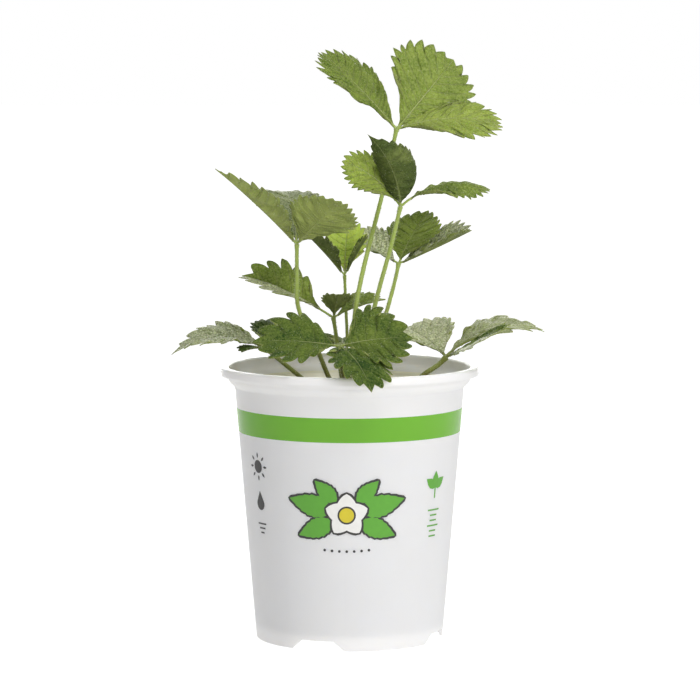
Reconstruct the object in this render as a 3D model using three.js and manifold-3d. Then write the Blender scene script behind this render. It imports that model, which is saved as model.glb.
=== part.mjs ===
// Potted strawberry plant: a white nursery pot filled with potting soil, a short crown, and ten
// trifoliate leaves that stand in sockets of the crown. Millimetres, +Z up. The group's origin is
// the centre of the plant's footprint, on the surface that the pot's foot ring rests on.
import * as THREE from 'three';
import { mergeVertices } from 'three/addons/utils/BufferGeometryUtils.js';
import Module from 'manifold-3d';

const wasm = await Module();
wasm.setup();

const rad = THREE.MathUtils.degToRad;

// Driving dimensions of the pot
const POT_SIDES = 48;
const POT_HEIGHT = 110;
const FOOT_RADIUS = 37.6;
const WALL = 1.2;
const FLOOR_Z = 5;
const FLOOR_FILLET = 0.6;
const TAPER_TOP_Z = 101.8;
const TAPER_TOP_RADIUS = 46.2;
const RIM_RADIUS = 52;

// [radius, height] points of the shoulder's two steps and of the lip's hollow underside
const SHOULDER = [[47.2, 102.6], [48.6, 104], [48.9, 105.3], [49.5, 105.9]];
const LIP_HOLLOW = [[49.7, 108.2], [51, 108.2], [51.1, 106.4], [51.6, 106.2]];

// The same over the lip, and down inside to the straight wall
const LIP = [[RIM_RADIUS, 106.9], [RIM_RADIUS, 109], [51.5, 109.8], [50.4, POT_HEIGHT], [49.3, 109.8]];
const INSIDE_SHOULDER = [[48.6, 109.2], [47.9, 106], [47.5, 104.9], [46.1, 103.5], [45, 102.6]];

// Drainage notches in the foot ring and holes in the floor
const NOTCH_HEIGHT = 4;
const NOTCH_BOTTOM_WIDTH = 22.4;
const NOTCH_TOP_WIDTH = 13.5;
const NOTCH_ANGLES = [-110, -20, 70, 160];
const NOTCH_CUT_START = 30;
const NOTCH_CUT_DEPTH = 16;
const DRAIN_RADIUS = 4.5;
const DRAIN_RING_RADIUS = 22;
const DRAIN_SIDES = 12;
const CUT_MARGIN = 1;

// What the pot holds, and the gap between neighbouring pieces
const GAP = 0.3;
const SOIL_SIDES = 40;
const SOIL_SIDE_GAP = 0.4;
const SOIL_EDGE_Z = 91;
const SOIL_CROWN_Z = 92.4;
const SOIL_SLOPE = [[32, 91.9], [20, SOIL_CROWN_Z]];
const SOIL_DIP = 0.5;
const CROWN_SIDES = 28;
const CROWN_BOTTOM_Z = 80;
const CROWN_TOP_Z = 94;
const CROWN_RADIUS = 8.6;
const CROWN_EDGE = 0.5;
const CROWN_FOOT = [[5, CROWN_BOTTOM_Z], [7.6, 84], [CROWN_RADIUS, 89]];
const SOCKET_BOTTOM_Z = 90.5;
const SOCKET_SIDES = 12;
const SOCKET_CLEARANCE = 0.35;

// Petioles and leaflet stalks
const PETIOLE_SIDES = 6;
const PETIOLE_STEPS_PER_POINT = 2;
const STRAIGHT_FOOT = 3;
const STALK_HALF_WIDTH = 0.5;
const STALK_THICKNESS = 1;
const STALK_INSET = 0.4;

// Leaflet blades. A half blade has one, two or three columns of faces, the more it curls.
const BLADE_THICKNESS = 0.6;
const MIDRIB_STEPS = 24;
const MIDRIB_REACH = 1.08;
const LITTLE_CURL = 15;
const STRONG_CURL = 60;
const VEIN_REACH = 0.96;
const VEIN_POWER = 1.6;
const VEIN_BOW = 0.035;
const WEDGE = 1.15;
const OUTERMOST = 1.3;

// Teeth of the margin, in shares of a tooth's length or of the leaflet's length
const TOOTH_PEAK = 0.62;
const TOOTH_ROUNDING = 0.8;
const TOOTH_DEPTH = 0.065;
const NOTCH_SINK = 0.3;
const TOOTH_LEAN = 0.55;
const TOOTH_SIDE_LEAN = 0.33;
const FIRST_TOOTH_SIZE = 0.55;
const TOOTH_GROWTH = 0.25;
const END_TOOTH_SIZE = 0.75;
const END_TOOTH_LENGTH = 0.5;

const potWhite = new THREE.MeshStandardMaterial({ color: 0xf0eeec, roughness: 0.4, metalness: 0 });
const soilBrown = new THREE.MeshStandardMaterial({ color: 0x3a2a1d, roughness: 1, metalness: 0 });
const crownBrown = new THREE.MeshStandardMaterial({ color: 0x6b5a34, roughness: 0.8, metalness: 0 });
const brightGreen = new THREE.MeshStandardMaterial({ color: 0x7f9a45, roughness: 0.6, metalness: 0 });
const midGreen = new THREE.MeshStandardMaterial({ color: 0x5c7a30, roughness: 0.6, metalness: 0 });
const darkGreen = new THREE.MeshStandardMaterial({ color: 0x44652a, roughness: 0.6, metalness: 0 });
const silverGreen = new THREE.MeshStandardMaterial({ color: 0x8b9a72, roughness: 0.5, metalness: 0 });

// A geometry reduced to shared positions, as a solid
function solidOf(geometry) {
  const bare = geometry.clone();
  bare.deleteAttribute('normal');
  bare.deleteAttribute('uv');
  const merged = mergeVertices(bare, 1e-4);
  return new wasm.Manifold(new wasm.Mesh({
    numProp: 3,
    vertProperties: new Float32Array(merged.attributes.position.array),
    triVerts: new Uint32Array(merged.index.array),
  }));
}

function geometryOf(solid) {
  const mesh = solid.getMesh();
  const geometry = new THREE.BufferGeometry();
  geometry.setAttribute('position', new THREE.BufferAttribute(mesh.vertProperties, 3));
  geometry.setIndex(new THREE.BufferAttribute(mesh.triVerts, 1));
  geometry.computeVertexNormals();
  return geometry;
}

// A geometry from a list of corner coordinates and one of corner numbers
function meshOf(positions, index) {
  const geometry = new THREE.BufferGeometry();
  geometry.setAttribute('position', new THREE.Float32BufferAttribute(positions, 3));
  geometry.setIndex(index);
  return geometry;
}

// A profile of [radius, height] points turned about Z
function turned(profile, sides) {
  const points = profile.map(([radius, height]) => new THREE.Vector2(radius, height));
  return new THREE.LatheGeometry(points, sides).rotateX(Math.PI / 2);
}

// An upright cylinder between two heights
function upright(x, y, radius, bottom, top, sides) {
  const cylinder = new THREE.CylinderGeometry(radius, radius, top - bottom, sides);
  return cylinder.rotateX(Math.PI / 2).translate(x, y, (top + bottom) / 2);
}

function potRadiusAt(z) {
  return FOOT_RADIUS + (TAPER_TOP_RADIUS - FOOT_RADIUS) * z / TAPER_TOP_Z;
}

// One trapezoid cutter for the foot ring, wider at the bottom, at an angle about Z
function notchCutter(angle) {
  const slope = (NOTCH_BOTTOM_WIDTH - NOTCH_TOP_WIDTH) / 2 / NOTCH_HEIGHT;
  const openHalf = NOTCH_BOTTOM_WIDTH / 2 + slope * CUT_MARGIN;
  const outline = new THREE.Shape([
    new THREE.Vector2(-openHalf, -CUT_MARGIN),
    new THREE.Vector2(openHalf, -CUT_MARGIN),
    new THREE.Vector2(NOTCH_TOP_WIDTH / 2, NOTCH_HEIGHT),
    new THREE.Vector2(-NOTCH_TOP_WIDTH / 2, NOTCH_HEIGHT),
  ]);
  const notch = new THREE.ExtrudeGeometry(outline, { depth: NOTCH_CUT_DEPTH, bevelEnabled: false });
  notch.rotateX(Math.PI / 2).rotateZ(Math.PI / 2).translate(NOTCH_CUT_START, 0, 0);
  return notch.rotateZ(rad(angle));
}

// Thin-walled pot with a foot ring, a raised floor, a stepped shoulder and a rolled rim
function makePot() {
  const inside = (z) => potRadiusAt(z) - WALL;
  const floorTop = FLOOR_Z + WALL;
  const profile = [
    [0, FLOOR_Z],
    [inside(FLOOR_Z) - FLOOR_FILLET, FLOOR_Z],
    [inside(0), 0],
    [FOOT_RADIUS, 0],
    [TAPER_TOP_RADIUS, TAPER_TOP_Z],
    ...SHOULDER,
    ...LIP_HOLLOW,
    ...LIP,
    ...INSIDE_SHOULDER,
    [inside(floorTop), floorTop],
    [0, floorTop],
  ];
  let pot = solidOf(turned(profile, POT_SIDES));

  const drains = [[0, 0]];
  for (const angle of NOTCH_ANGLES) {
    pot = pot.subtract(solidOf(notchCutter(angle)));
    drains.push([DRAIN_RING_RADIUS * Math.cos(rad(angle)), DRAIN_RING_RADIUS * Math.sin(rad(angle))]);
  }
  for (const [x, y] of drains) {
    const hole = upright(x, y, DRAIN_RADIUS, FLOOR_Z - CUT_MARGIN, floorTop + CUT_MARGIN, DRAIN_SIDES);
    pot = pot.subtract(solidOf(hole));
  }
  return geometryOf(pot);
}

// Soil body: fills the pot to well below the rim, with a plain hole for the crown
function makeSoil() {
  const bottom = FLOOR_Z + WALL + GAP;
  const sideAt = (z) => potRadiusAt(z) - WALL - SOIL_SIDE_GAP;
  return turned([
    [0, bottom],
    [sideAt(bottom), bottom],
    [sideAt(SOIL_EDGE_Z), SOIL_EDGE_Z],
    ...SOIL_SLOPE,
    [CROWN_RADIUS + GAP, SOIL_CROWN_Z - SOIL_DIP],
    [CROWN_RADIUS + GAP, CROWN_BOTTOM_Z - GAP],
    [0, CROWN_BOTTOM_Z - GAP],
  ], SOIL_SIDES);
}

// What a leaflet has unless its own entry says otherwise
const PLAIN_LEAFLET = {
  roll: 0, curl: -10, bend: 0, taper: 1.45, skew: 0, stalk: 2, teeth: 8, tooth: 1, bare: 0.2,
};

// Each leaf: its petiole's radius at the foot and at the top, the socket where it stands in the
// crown, the points that it passes, the last one its junction with the leaflets, and the three
// leaflets. A leaflet's heading is 0 along +X and 90 along +Y, rise is its angle above level, roll
// turns it about its midrib, fold is the V of its halves, curl bends each half across, arch bends
// the midrib towards the upper side and bend sideways, all in degrees. The lower the taper, the
// closer to the base is its widest place, and skew makes the half on the left of its heading the
// wider one. Tooth is the size of its teeth, and bare the share of its margin that has none.
const LEAVES = [
  {
    name: 'leaf_top',
    colour: brightGreen,
    radius: [1, 0.8],
    socket: [0.8, 3],
    path: [[2.5, -2.5, 133], [14, 15, 181], [19, 17, 204]],
    leaflets: [
      {
        heading: 155, rise: 47, roll: -8, length: 42, width: 31,
        fold: 6, arch: -10, skew: -0.22, bare: 0.45,
      },
      {
        heading: 42, rise: 41, roll: 58, length: 43, width: 35,
        fold: 14, curl: -30, arch: -18, skew: 0.1, bare: 0.3,
      },
      {
        heading: -6, rise: 19, roll: 24, length: 39.5, width: 32,
        fold: 8, arch: -38, skew: -0.16, bare: 0.35,
      },
    ],
  },
  {
    name: 'leaf_second',
    colour: darkGreen,
    radius: [1, 0.8],
    socket: [2.6, -0.2],
    path: [[10, -2, 133.5], [16.5, -5, 158], [20.3, -6, 174]],
    leaflets: [
      {
        heading: 170, rise: 54, roll: -55, length: 26, width: 15,
        fold: 5, arch: -15, bend: 36, stalk: 3,
      },
      {
        heading: 262, rise: 67, length: 32, width: 24,
        fold: 8, curl: 80, arch: 0, bend: -46, taper: 0.65, tooth: 0.4, bare: 0.4,
      },
      {
        heading: 0, rise: 38, roll: 8, length: 33, width: 20,
        fold: 0, curl: -40, arch: -68, skew: -0.15, stalk: 5, tooth: 0.7, bare: 0.3,
      },
    ],
  },
  {
    name: 'leaf_third',
    colour: midGreen,
    radius: [0.95, 0.75],
    socket: [4.3, 3.3],
    path: [[15.5, 9, 132.5], [19, 21, 144.5], [20, 25, 149]],
    leaflets: [
      { heading: 150, rise: 28, roll: -14, length: 23, width: 22, fold: 26, arch: -12 },
      { heading: 38, rise: 60, length: 23.5, width: 31, fold: 10, arch: -15, taper: 1.05 },
      { heading: -12, rise: 23, roll: 12, length: 30, width: 18, fold: 32, arch: 4, skew: 0.15 },
    ],
  },
  {
    name: 'leaf_left',
    colour: silverGreen,
    radius: [1, 0.75],
    socket: [-4.2, -2.2],
    path: [[-8.5, -2, 105.5], [-12.5, -3, 115.5], [-20.5, -4, 133.5], [-21, -5, 144.5], [-21, -6, 159]],
    leaflets: [
      {
        heading: 203, rise: 45, length: 43, width: 27,
        fold: 22, arch: -8, taper: 0.8, tooth: 0.7, bare: 0.35,
      },
      { heading: 100, rise: 64, length: 31, width: 27, fold: 10, curl: -20, arch: -60 },
      {
        heading: -48, rise: 38, roll: -30, length: 31, width: 27,
        fold: 10, arch: -14, taper: 1.1, tooth: 0.8, bare: 0.4,
      },
    ],
  },
  {
    name: 'leaf_young',
    colour: brightGreen,
    radius: [0.7, 0.6],
    socket: [-2.6, 3.6],
    path: [[-1, 13.5, 118], [-1.5, 15.5, 132], [-2, 14, 145]],
    leaflets: [
      { heading: 200, rise: 50, length: 24, width: 16, fold: 28, arch: -10, taper: 1.1 },
      { heading: 84, rise: 66, length: 23, width: 15, fold: 5, arch: -10, taper: 1.1 },
      { heading: -12, rise: 63, roll: 10, length: 16, width: 9, fold: 30, arch: -10, teeth: 6 },
    ],
  },
  {
    name: 'leaf_low_left',
    colour: midGreen,
    radius: [0.95, 0.75],
    socket: [-1.6, 0.2],
    path: [[-3.5, 3, 107], [-5, 5, 118.5], [-6.5, 6, 128.5]],
    leaflets: [
      {
        heading: 168, rise: 31, roll: -30, length: 33, width: 18.5,
        fold: 32, arch: -24, taper: 1.15, stalk: 7, skew: -0.05, teeth: 5, tooth: 1.7,
      },
      { heading: 20, rise: 30, roll: 10, length: 20, width: 16, fold: 20, arch: -30 },
      { heading: -78, rise: 48, length: 13, width: 12, fold: 20, arch: -15, teeth: 6 },
    ],
  },
  {
    name: 'leaf_front',
    colour: darkGreen,
    radius: [1.1, 0.85],
    socket: [0.4, -3.4],
    path: [[-2.5, -10, 108], [-3.5, -24, 117.5], [-4, -32, 120.5]],
    leaflets: [
      {
        heading: 184, rise: 10, roll: -30, length: 30, width: 28,
        fold: 12, arch: -18, taper: 0.95, teeth: 5, tooth: 1.9,
      },
      {
        heading: 5, rise: 14, roll: 34, length: 26, width: 33,
        fold: 12, arch: -24, taper: 0.95, teeth: 6, tooth: 1.9,
      },
      {
        heading: -64, rise: -9.5, roll: -8, length: 31, width: 22,
        fold: 10, arch: -35, taper: 1.05, teeth: 6, tooth: 1.6,
      },
    ],
  },
  {
    name: 'leaf_rim_right',
    colour: silverGreen,
    radius: [1.2, 1],
    socket: [5.9, -1.4],
    path: [[22.5, 0, 99], [30, 1, 106], [36, 2, 110], [39, 2, 113]],
    leaflets: [
      { heading: 131, rise: 32, roll: -10, length: 25, width: 26, fold: 16, arch: -25, skew: -0.2 },
      { heading: 14, rise: 45, roll: 12, length: 41, width: 21, fold: 8, arch: -70 },
      { heading: -38, rise: 24, roll: 18, length: 29, width: 26, fold: 10, arch: 0, skew: -0.35 },
    ],
  },
  {
    name: 'leaf_rim_left',
    colour: silverGreen,
    radius: [0.95, 0.85],
    socket: [-5.6, 1.4],
    path: [[-12.5, 1, 99.5], [-20.5, 2, 105.5], [-26, 2, 110], [-34.5, 2, 117]],
    leaflets: [
      { heading: 184, rise: 24, roll: -15, length: 36, width: 23, fold: 15, arch: -66, taper: 0.85 },
      { heading: 70, rise: 24, length: 24, width: 22, fold: 10, arch: -10 },
      { heading: 225, rise: 2, length: 10, width: 9, fold: 20, arch: -20, teeth: 6 },
    ],
  },
  {
    name: 'leaf_back',
    colour: midGreen,
    radius: [0.95, 0.75],
    socket: [-1.4, 6.2],
    path: [[-2, 14, 104], [-3, 26, 112], [-3, 32, 115]],
    leaflets: [
      { heading: 165, rise: 14, length: 25, width: 22, fold: 15, arch: -25 },
      { heading: 90, rise: 12, length: 30, width: 26, fold: 15, arch: -40 },
      { heading: 15, rise: 14, length: 25, width: 22, fold: 15, arch: -25 },
    ],
  },
];

// Start direction of a leaflet's midrib, and the direction across it
function leafletAxes(leaflet) {
  const heading = rad(leaflet.heading);
  const rise = rad(leaflet.rise);
  const roll = rad(leaflet.roll);
  const along = new THREE.Vector3(
    Math.cos(rise) * Math.cos(heading), Math.cos(rise) * Math.sin(heading), Math.sin(rise));
  const level = new THREE.Vector3(-Math.sin(heading), Math.cos(heading), 0);
  const up = along.clone().cross(level);
  const across = level.multiplyScalar(Math.cos(roll)).addScaledVector(up, Math.sin(roll));
  return { along, across };
}

// Frames along the midrib, from the base to a little past the tip
function midribFrames(leaflet, base) {
  const { along, across } = leafletAxes(leaflet);
  const step = leaflet.length * MIDRIB_REACH / MIDRIB_STEPS;
  const archStep = rad(leaflet.arch) / MIDRIB_STEPS;
  const bendStep = rad(leaflet.bend) / MIDRIB_STEPS;
  const point = base.clone();
  const frames = [];
  for (let i = 0; i <= MIDRIB_STEPS; i += 1) {
    const up = along.clone().cross(across);
    frames.push({ point: point.clone(), across: across.clone(), up });
    point.addScaledVector(along, step);
    const turnedAcross = across.clone().addScaledVector(along, -bendStep);
    along.addScaledVector(up, archStep).addScaledVector(across, bendStep).normalize();
    across.copy(turnedAcross).addScaledVector(along, -turnedAcross.dot(along)).normalize();
  }
  return frames;
}

// Midrib point, across and up at a distance along the leaflet
function frameAt(frames, leaflet, distance) {
  const share = THREE.MathUtils.clamp(distance / (leaflet.length * MIDRIB_REACH), 0, 1);
  const place = share * MIDRIB_STEPS;
  const index = Math.min(Math.floor(place), MIDRIB_STEPS - 1);
  const [before, after] = [frames[index], frames[index + 1]];
  return {
    point: before.point.clone().lerp(after.point, place - index),
    across: before.across.clone().lerp(after.across, place - index),
    up: before.up.clone().lerp(after.up, place - index),
  };
}

// Margin positions: -1 at the base, 0 at the first notch, one unit per tooth, then the end tooth
function marginSteps(teeth) {
  const steps = [-1, -0.5];
  for (let tooth = 0; tooth < teeth; tooth += 1) {
    steps.push(tooth, tooth + TOOTH_PEAK);
  }
  steps.push(teeth, teeth + END_TOOTH_LENGTH);
  return steps;
}

// How far a tooth stands out at a margin position, in shares of the leaflet's length. Between two
// teeth it is below 0: a notch is cut into the outline.
function toothDepth(leaflet, position) {
  if (position < 0) return 0;
  const { teeth, tooth } = leaflet;
  const growth = THREE.MathUtils.clamp(FIRST_TOOTH_SIZE + TOOTH_GROWTH * position, 0, 1);
  const size = TOOTH_DEPTH * tooth * growth;
  if (position >= teeth) return size * END_TOOTH_SIZE * (position - teeth) / END_TOOTH_LENGTH;
  const inTooth = position - Math.floor(position);
  const profile = inTooth <= TOOTH_PEAK
    ? (inTooth / TOOTH_PEAK) ** TOOTH_ROUNDING
    : (1 - inTooth) / (1 - TOOTH_PEAK);
  return size * (profile - NOTCH_SINK * (1 - profile));
}

// Flat outline at a margin position: the share of the whole margin, how far along (u) and out (v)
// it is, and where the vein that ends there leaves the midrib. The teeth point forwards.
function marginPoint(leaflet, halfWidth, position) {
  const { length, taper, teeth, bare } = leaflet;
  const share = position < 0
    ? bare * (1 + position)
    : bare + (1 - bare) * position / (teeth + END_TOOTH_LENGTH);
  const turn = Math.PI * share ** WEDGE;
  const slopeU = length * taper * Math.max(1 - share, 1e-4) ** (taper - 1);
  const slopeV = halfWidth * Math.PI * WEDGE * share ** (WEDGE - 1) * Math.cos(turn);
  const slope = Math.hypot(slopeU, slopeV);
  const [tangentU, tangentV] = [slopeU / slope, slopeV / slope];
  const depth = length * toothDepth(leaflet, position);
  let u = length * (1 - (1 - share) ** taper);
  let v = halfWidth * Math.sin(turn);
  if (position >= teeth) {
    u += depth;
  } else {
    u += depth * (TOOTH_LEAN * tangentU - tangentV);
    v += depth * (tangentU + TOOTH_SIDE_LEAN * tangentV);
  }
  if (position < 0) v = Math.max(v, STALK_HALF_WIDTH);
  if (position >= teeth + END_TOOTH_LENGTH) v = 0;
  return { share, u, v, veinU: VEIN_REACH * length * share ** VEIN_POWER };
}

// Point of the blade between the midrib (column 0) and the margin (column 1), on one of its halves
function bladePoint(leaflet, frames, side, halfWidth, margin, column) {
  const fold = rad(leaflet.fold);
  const curl = rad(leaflet.curl);
  const bulge = 4 * column * (1 - column) * Math.sin(Math.PI * margin.share);
  const u = margin.veinU + column * (margin.u - margin.veinU) - VEIN_BOW * leaflet.length * bulge;
  const outward = THREE.MathUtils.clamp(column * margin.v / halfWidth, 0, OUTERMOST);
  const out = halfWidth / curl * (Math.sin(fold + curl * outward) - Math.sin(fold));
  const lift = -halfWidth / curl * (Math.cos(fold + curl * outward) - Math.cos(fold));
  const { point, across, up } = frameAt(frames, leaflet, u);
  return point.addScaledVector(across, side * out).addScaledVector(up, lift);
}

function bladeColumns(curl) {
  if (Math.abs(curl) > STRONG_CURL) return [0, 0.35, 0.7, 1];
  if (Math.abs(curl) > LITTLE_CURL) return [0, 0.5, 1];
  return [0, 1];
}

// The closed blade of one leaflet with its short stalk, split alike on both faces along its veins
function leafletGeometry(leaflet, junction) {
  const { along, across } = leafletAxes(leaflet);
  const base = junction.clone().addScaledVector(along, leaflet.stalk);
  const stalkStart = junction.clone().addScaledVector(along, -STALK_INSET);
  const frames = midribFrames(leaflet, base);
  const steps = marginSteps(leaflet.teeth);
  const columns = bladeColumns(leaflet.curl);
  const points = [];
  const thickness = [];
  const rows = { 1: [], '-1': [] };

  for (const side of [1, -1]) {
    const halfWidth = leaflet.width / 2 * (1 + side * leaflet.skew);
    rows[side].push(columns.map((column, place) => {
      if (side < 0 && place === 0) return rows[1][0][0];
      points.push(stalkStart.clone().addScaledVector(across, side * column * STALK_HALF_WIDTH));
      thickness.push(STALK_THICKNESS);
      return points.length - 1;
    }));
    steps.forEach((position, step) => {
      const margin = marginPoint(leaflet, halfWidth, position);
      rows[side].push(columns.map((column, place) => {
        const shared = side < 0 && (place === 0 || step === steps.length - 1);
        if (shared) return rows[1][step + 1][place];
        points.push(bladePoint(leaflet, frames, side, halfWidth, margin, column));
        thickness.push(step === 0 ? STALK_THICKNESS : BLADE_THICKNESS);
        return points.length - 1;
      }));
    });
  }

  const triangles = [];
  for (const side of [1, -1]) {
    const grid = rows[side];
    for (let row = 0; row < grid.length - 1; row += 1) {
      for (let place = 0; place < columns.length - 1; place += 1) {
        const [a, b] = [grid[row][place], grid[row + 1][place]];
        const [c, d] = [grid[row + 1][place + 1], grid[row][place + 1]];
        const quad = side > 0 ? [[a, b, c], [a, c, d]] : [[a, c, b], [a, d, c]];
        triangles.push(...quad);
      }
    }
  }
  return thickened(points, triangles, thickness);
}

// A sheet of triangles made into a closed blade, with walls along its open edge
function thickened(points, triangles, thickness) {
  const normals = points.map(() => new THREE.Vector3());
  const edge = new THREE.Vector3();
  const other = new THREE.Vector3();
  for (const [a, b, c] of triangles) {
    edge.subVectors(points[b], points[a]);
    other.subVectors(points[c], points[a]);
    edge.cross(other);
    for (const corner of [a, b, c]) normals[corner].add(edge);
  }
  const positions = [];
  for (const sign of [1, -1]) {
    points.forEach((point, i) => {
      const normal = normals[i].clone().normalize();
      positions.push(...point.clone().addScaledVector(normal, sign * thickness[i] / 2).toArray());
    });
  }
  const open = new Map();
  for (const [a, b, c] of triangles) {
    for (const [from, to] of [[a, b], [b, c], [c, a]]) {
      if (open.has(`${to}:${from}`)) open.delete(`${to}:${from}`);
      else open.set(`${from}:${to}`, [from, to]);
    }
  }
  const count = points.length;
  const index = [];
  for (const [a, b, c] of triangles) index.push(a, b, c, a + count, c + count, b + count);
  for (const [from, to] of open.values()) {
    index.push(to, from, from + count, to, from + count, to + count);
  }
  return meshOf(positions, index);
}

// A closed round stem along a curve, its radius changing evenly from one end to the other
function stemGeometry(curve, startRadius, endRadius, steps, sides) {
  const frames = curve.computeFrenetFrames(steps, false);
  const positions = [];
  const index = [];
  for (let i = 0; i <= steps; i += 1) {
    const centre = curve.getPointAt(i / steps);
    const radius = THREE.MathUtils.lerp(startRadius, endRadius, i / steps);
    for (let k = 0; k < sides; k += 1) {
      const angle = 2 * Math.PI * k / sides;
      const point = centre.clone()
        .addScaledVector(frames.normals[i], radius * Math.cos(angle))
        .addScaledVector(frames.binormals[i], radius * Math.sin(angle));
      positions.push(...point.toArray());
    }
  }
  for (let i = 0; i < steps; i += 1) {
    for (let k = 0; k < sides; k += 1) {
      const next = (k + 1) % sides;
      const [a, b] = [i * sides + k, i * sides + next];
      const [c, d] = [b + sides, a + sides];
      index.push(a, b, c, a, c, d);
    }
  }
  const last = steps * sides;
  for (let k = 1; k < sides - 1; k += 1) {
    index.push(0, k + 1, k, last, last + k, last + k + 1);
  }
  return meshOf(positions, index);
}

// The line of a petiole: straight up out of its socket, then through its own points
function petioleCurve(leaf) {
  const [x, y] = leaf.socket;
  const foot = [SOCKET_BOTTOM_Z + GAP, CROWN_TOP_Z, CROWN_TOP_Z + STRAIGHT_FOOT];
  const points = foot.map((z) => new THREE.Vector3(x, y, z));
  for (const place of leaf.path) points.push(new THREE.Vector3(...place));
  return new THREE.CatmullRomCurve3(points);
}

// One leaf: its petiole and three stalked, toothed leaflets, joined in one solid
function makeLeaf(leaf) {
  const [footRadius, topRadius] = leaf.radius;
  const petiole = petioleCurve(leaf);
  const steps = PETIOLE_STEPS_PER_POINT * petiole.points.length;
  let solid = solidOf(stemGeometry(petiole, footRadius, topRadius, steps, PETIOLE_SIDES));
  const junction = petiole.points.at(-1);
  for (const entry of leaf.leaflets) {
    const leaflet = { ...PLAIN_LEAFLET, ...entry };
    solid = solid.add(solidOf(leafletGeometry(leaflet, junction)));
  }
  return geometryOf(solid);
}

// Crown: the short thick stem at soil level, with a socket for each petiole
function makeCrown() {
  let crown = solidOf(turned([
    [0, CROWN_BOTTOM_Z],
    ...CROWN_FOOT,
    [CROWN_RADIUS, CROWN_TOP_Z - 2 * CROWN_EDGE],
    [CROWN_RADIUS - CROWN_EDGE, CROWN_TOP_Z],
    [0, CROWN_TOP_Z],
  ], CROWN_SIDES));
  for (const leaf of LEAVES) {
    const [x, y] = leaf.socket;
    const radius = leaf.radius[0] + SOCKET_CLEARANCE;
    const socket = upright(x, y, radius, SOCKET_BOTTOM_Z, CROWN_TOP_Z + CUT_MARGIN, SOCKET_SIDES);
    crown = crown.subtract(solidOf(socket));
  }
  return geometryOf(crown);
}

const plant = new THREE.Group();

function addPiece(name, geometry, material) {
  const mesh = new THREE.Mesh(geometry, material);
  mesh.name = name;
  plant.add(mesh);
}

addPiece('pot', makePot(), potWhite);
addPiece('soil', makeSoil(), soilBrown);
addPiece('crown', makeCrown(), crownBrown);
for (const leaf of LEAVES) addPiece(leaf.name, makeLeaf(leaf), leaf.colour);

// Centre the footprint on the origin
const centre = new THREE.Box3().setFromObject(plant).getCenter(new THREE.Vector3());
plant.position.set(-centre.x, -centre.y, 0);

const group = new THREE.Group();
group.add(plant);
export default group;
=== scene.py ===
# %% [markdown]
# # A strawberry plant in its nursery pot
# The CAD model says where each leaf, the crown, the soil and the pot are. This notebook gives them the
# look of the real things. Leaves are grown again from the same rule as in the CAD, with many more
# points, so that they get veins, quilting and hairs. All numbers for shapes are in millimetres.

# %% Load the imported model
import math

import bmesh
import bpy
import numpy as np
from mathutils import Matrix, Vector, noise


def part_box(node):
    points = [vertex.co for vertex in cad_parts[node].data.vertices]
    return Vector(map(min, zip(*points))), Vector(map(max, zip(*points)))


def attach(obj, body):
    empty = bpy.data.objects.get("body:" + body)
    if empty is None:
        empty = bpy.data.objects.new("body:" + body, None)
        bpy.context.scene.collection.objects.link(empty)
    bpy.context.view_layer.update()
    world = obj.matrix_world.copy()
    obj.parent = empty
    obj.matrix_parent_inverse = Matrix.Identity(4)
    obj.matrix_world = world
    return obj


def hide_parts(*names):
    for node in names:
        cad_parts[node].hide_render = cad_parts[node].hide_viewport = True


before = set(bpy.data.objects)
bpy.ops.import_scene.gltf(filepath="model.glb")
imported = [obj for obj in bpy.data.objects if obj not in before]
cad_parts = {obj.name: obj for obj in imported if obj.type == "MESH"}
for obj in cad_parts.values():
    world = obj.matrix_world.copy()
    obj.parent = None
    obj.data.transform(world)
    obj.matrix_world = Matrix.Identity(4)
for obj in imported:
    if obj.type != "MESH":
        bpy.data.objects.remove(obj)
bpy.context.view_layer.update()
MM = 0.001
pot_low, pot_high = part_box("pot")
AXIS = np.array([(pot_low.x + pot_high.x) / 2, (pot_low.y + pot_high.y) / 2, 0]) / MM
print("pot axis in mm:", AXIS.round(3), "nodes:", len(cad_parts))

# %% [markdown]
# ## Helpers
# `add` makes a node, and `feed` gives its sockets values or the outputs of other nodes. Colours are
# written as sRGB hex codes, as a colour picker shows them, and Blender wants linear values, so `feed`
# turns them. `piece` makes a mesh object from points in millimetres about the pot's axis.
# `finish` starts a material, and `mottled` makes the plain grainy ones whole.

# %% Helpers for colours, nodes and meshes
FACTOR, COLOUR_A, COLOUR_B = 0, 6, 7


def srgb(code):
    """Linear colour of an sRGB hex code, with alpha."""
    channels = [int(code[i:i + 2], 16) / 255 for i in (1, 3, 5)]
    linear = [c / 12.92 if c <= 0.04045 else ((c + 0.055) / 1.055) ** 2.4 for c in channels]
    return (*linear, 1)


def feed(node, links):
    """Gives a node's sockets, by name or in order, a value, a colour, an output or another node."""
    for key, value in links.items() if isinstance(links, dict) else enumerate(links):
        if isinstance(value, bpy.types.Node):
            value = next(output for output in value.outputs if output.enabled)
        if isinstance(value, str) and value.startswith("#"):
            value = srgb(value)
        if isinstance(value, bpy.types.NodeSocket):
            node.id_data.links.new(value, node.inputs[key])
        else:
            node.inputs[key].default_value = value


def add(tree, kind, links=(), **settings):
    """Adds a node with its settings and feeds its sockets."""
    node = tree.nodes.new(kind)
    for name, value in settings.items():
        setattr(node, name, value)
    feed(node, links)
    return node


def new_object(name, data):
    """An object in the scene that shows a mesh, a lamp or a camera."""
    made = bpy.data.objects.new(name, data)
    bpy.context.scene.collection.objects.link(made)
    return made


def piece(name, points, faces, materials=(), smooth=True):
    """A mesh object from points in millimetres about the pot's axis."""
    mesh = bpy.data.meshes.new(name)
    placed = (np.asarray(points, float) + AXIS) * MM
    mesh.from_pydata(placed.tolist(), [], [list(map(int, face)) for face in faces])
    for material in materials:
        mesh.materials.append(material)
    if smooth:
        mesh.shade_smooth()
    return new_object(name, mesh)


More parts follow.
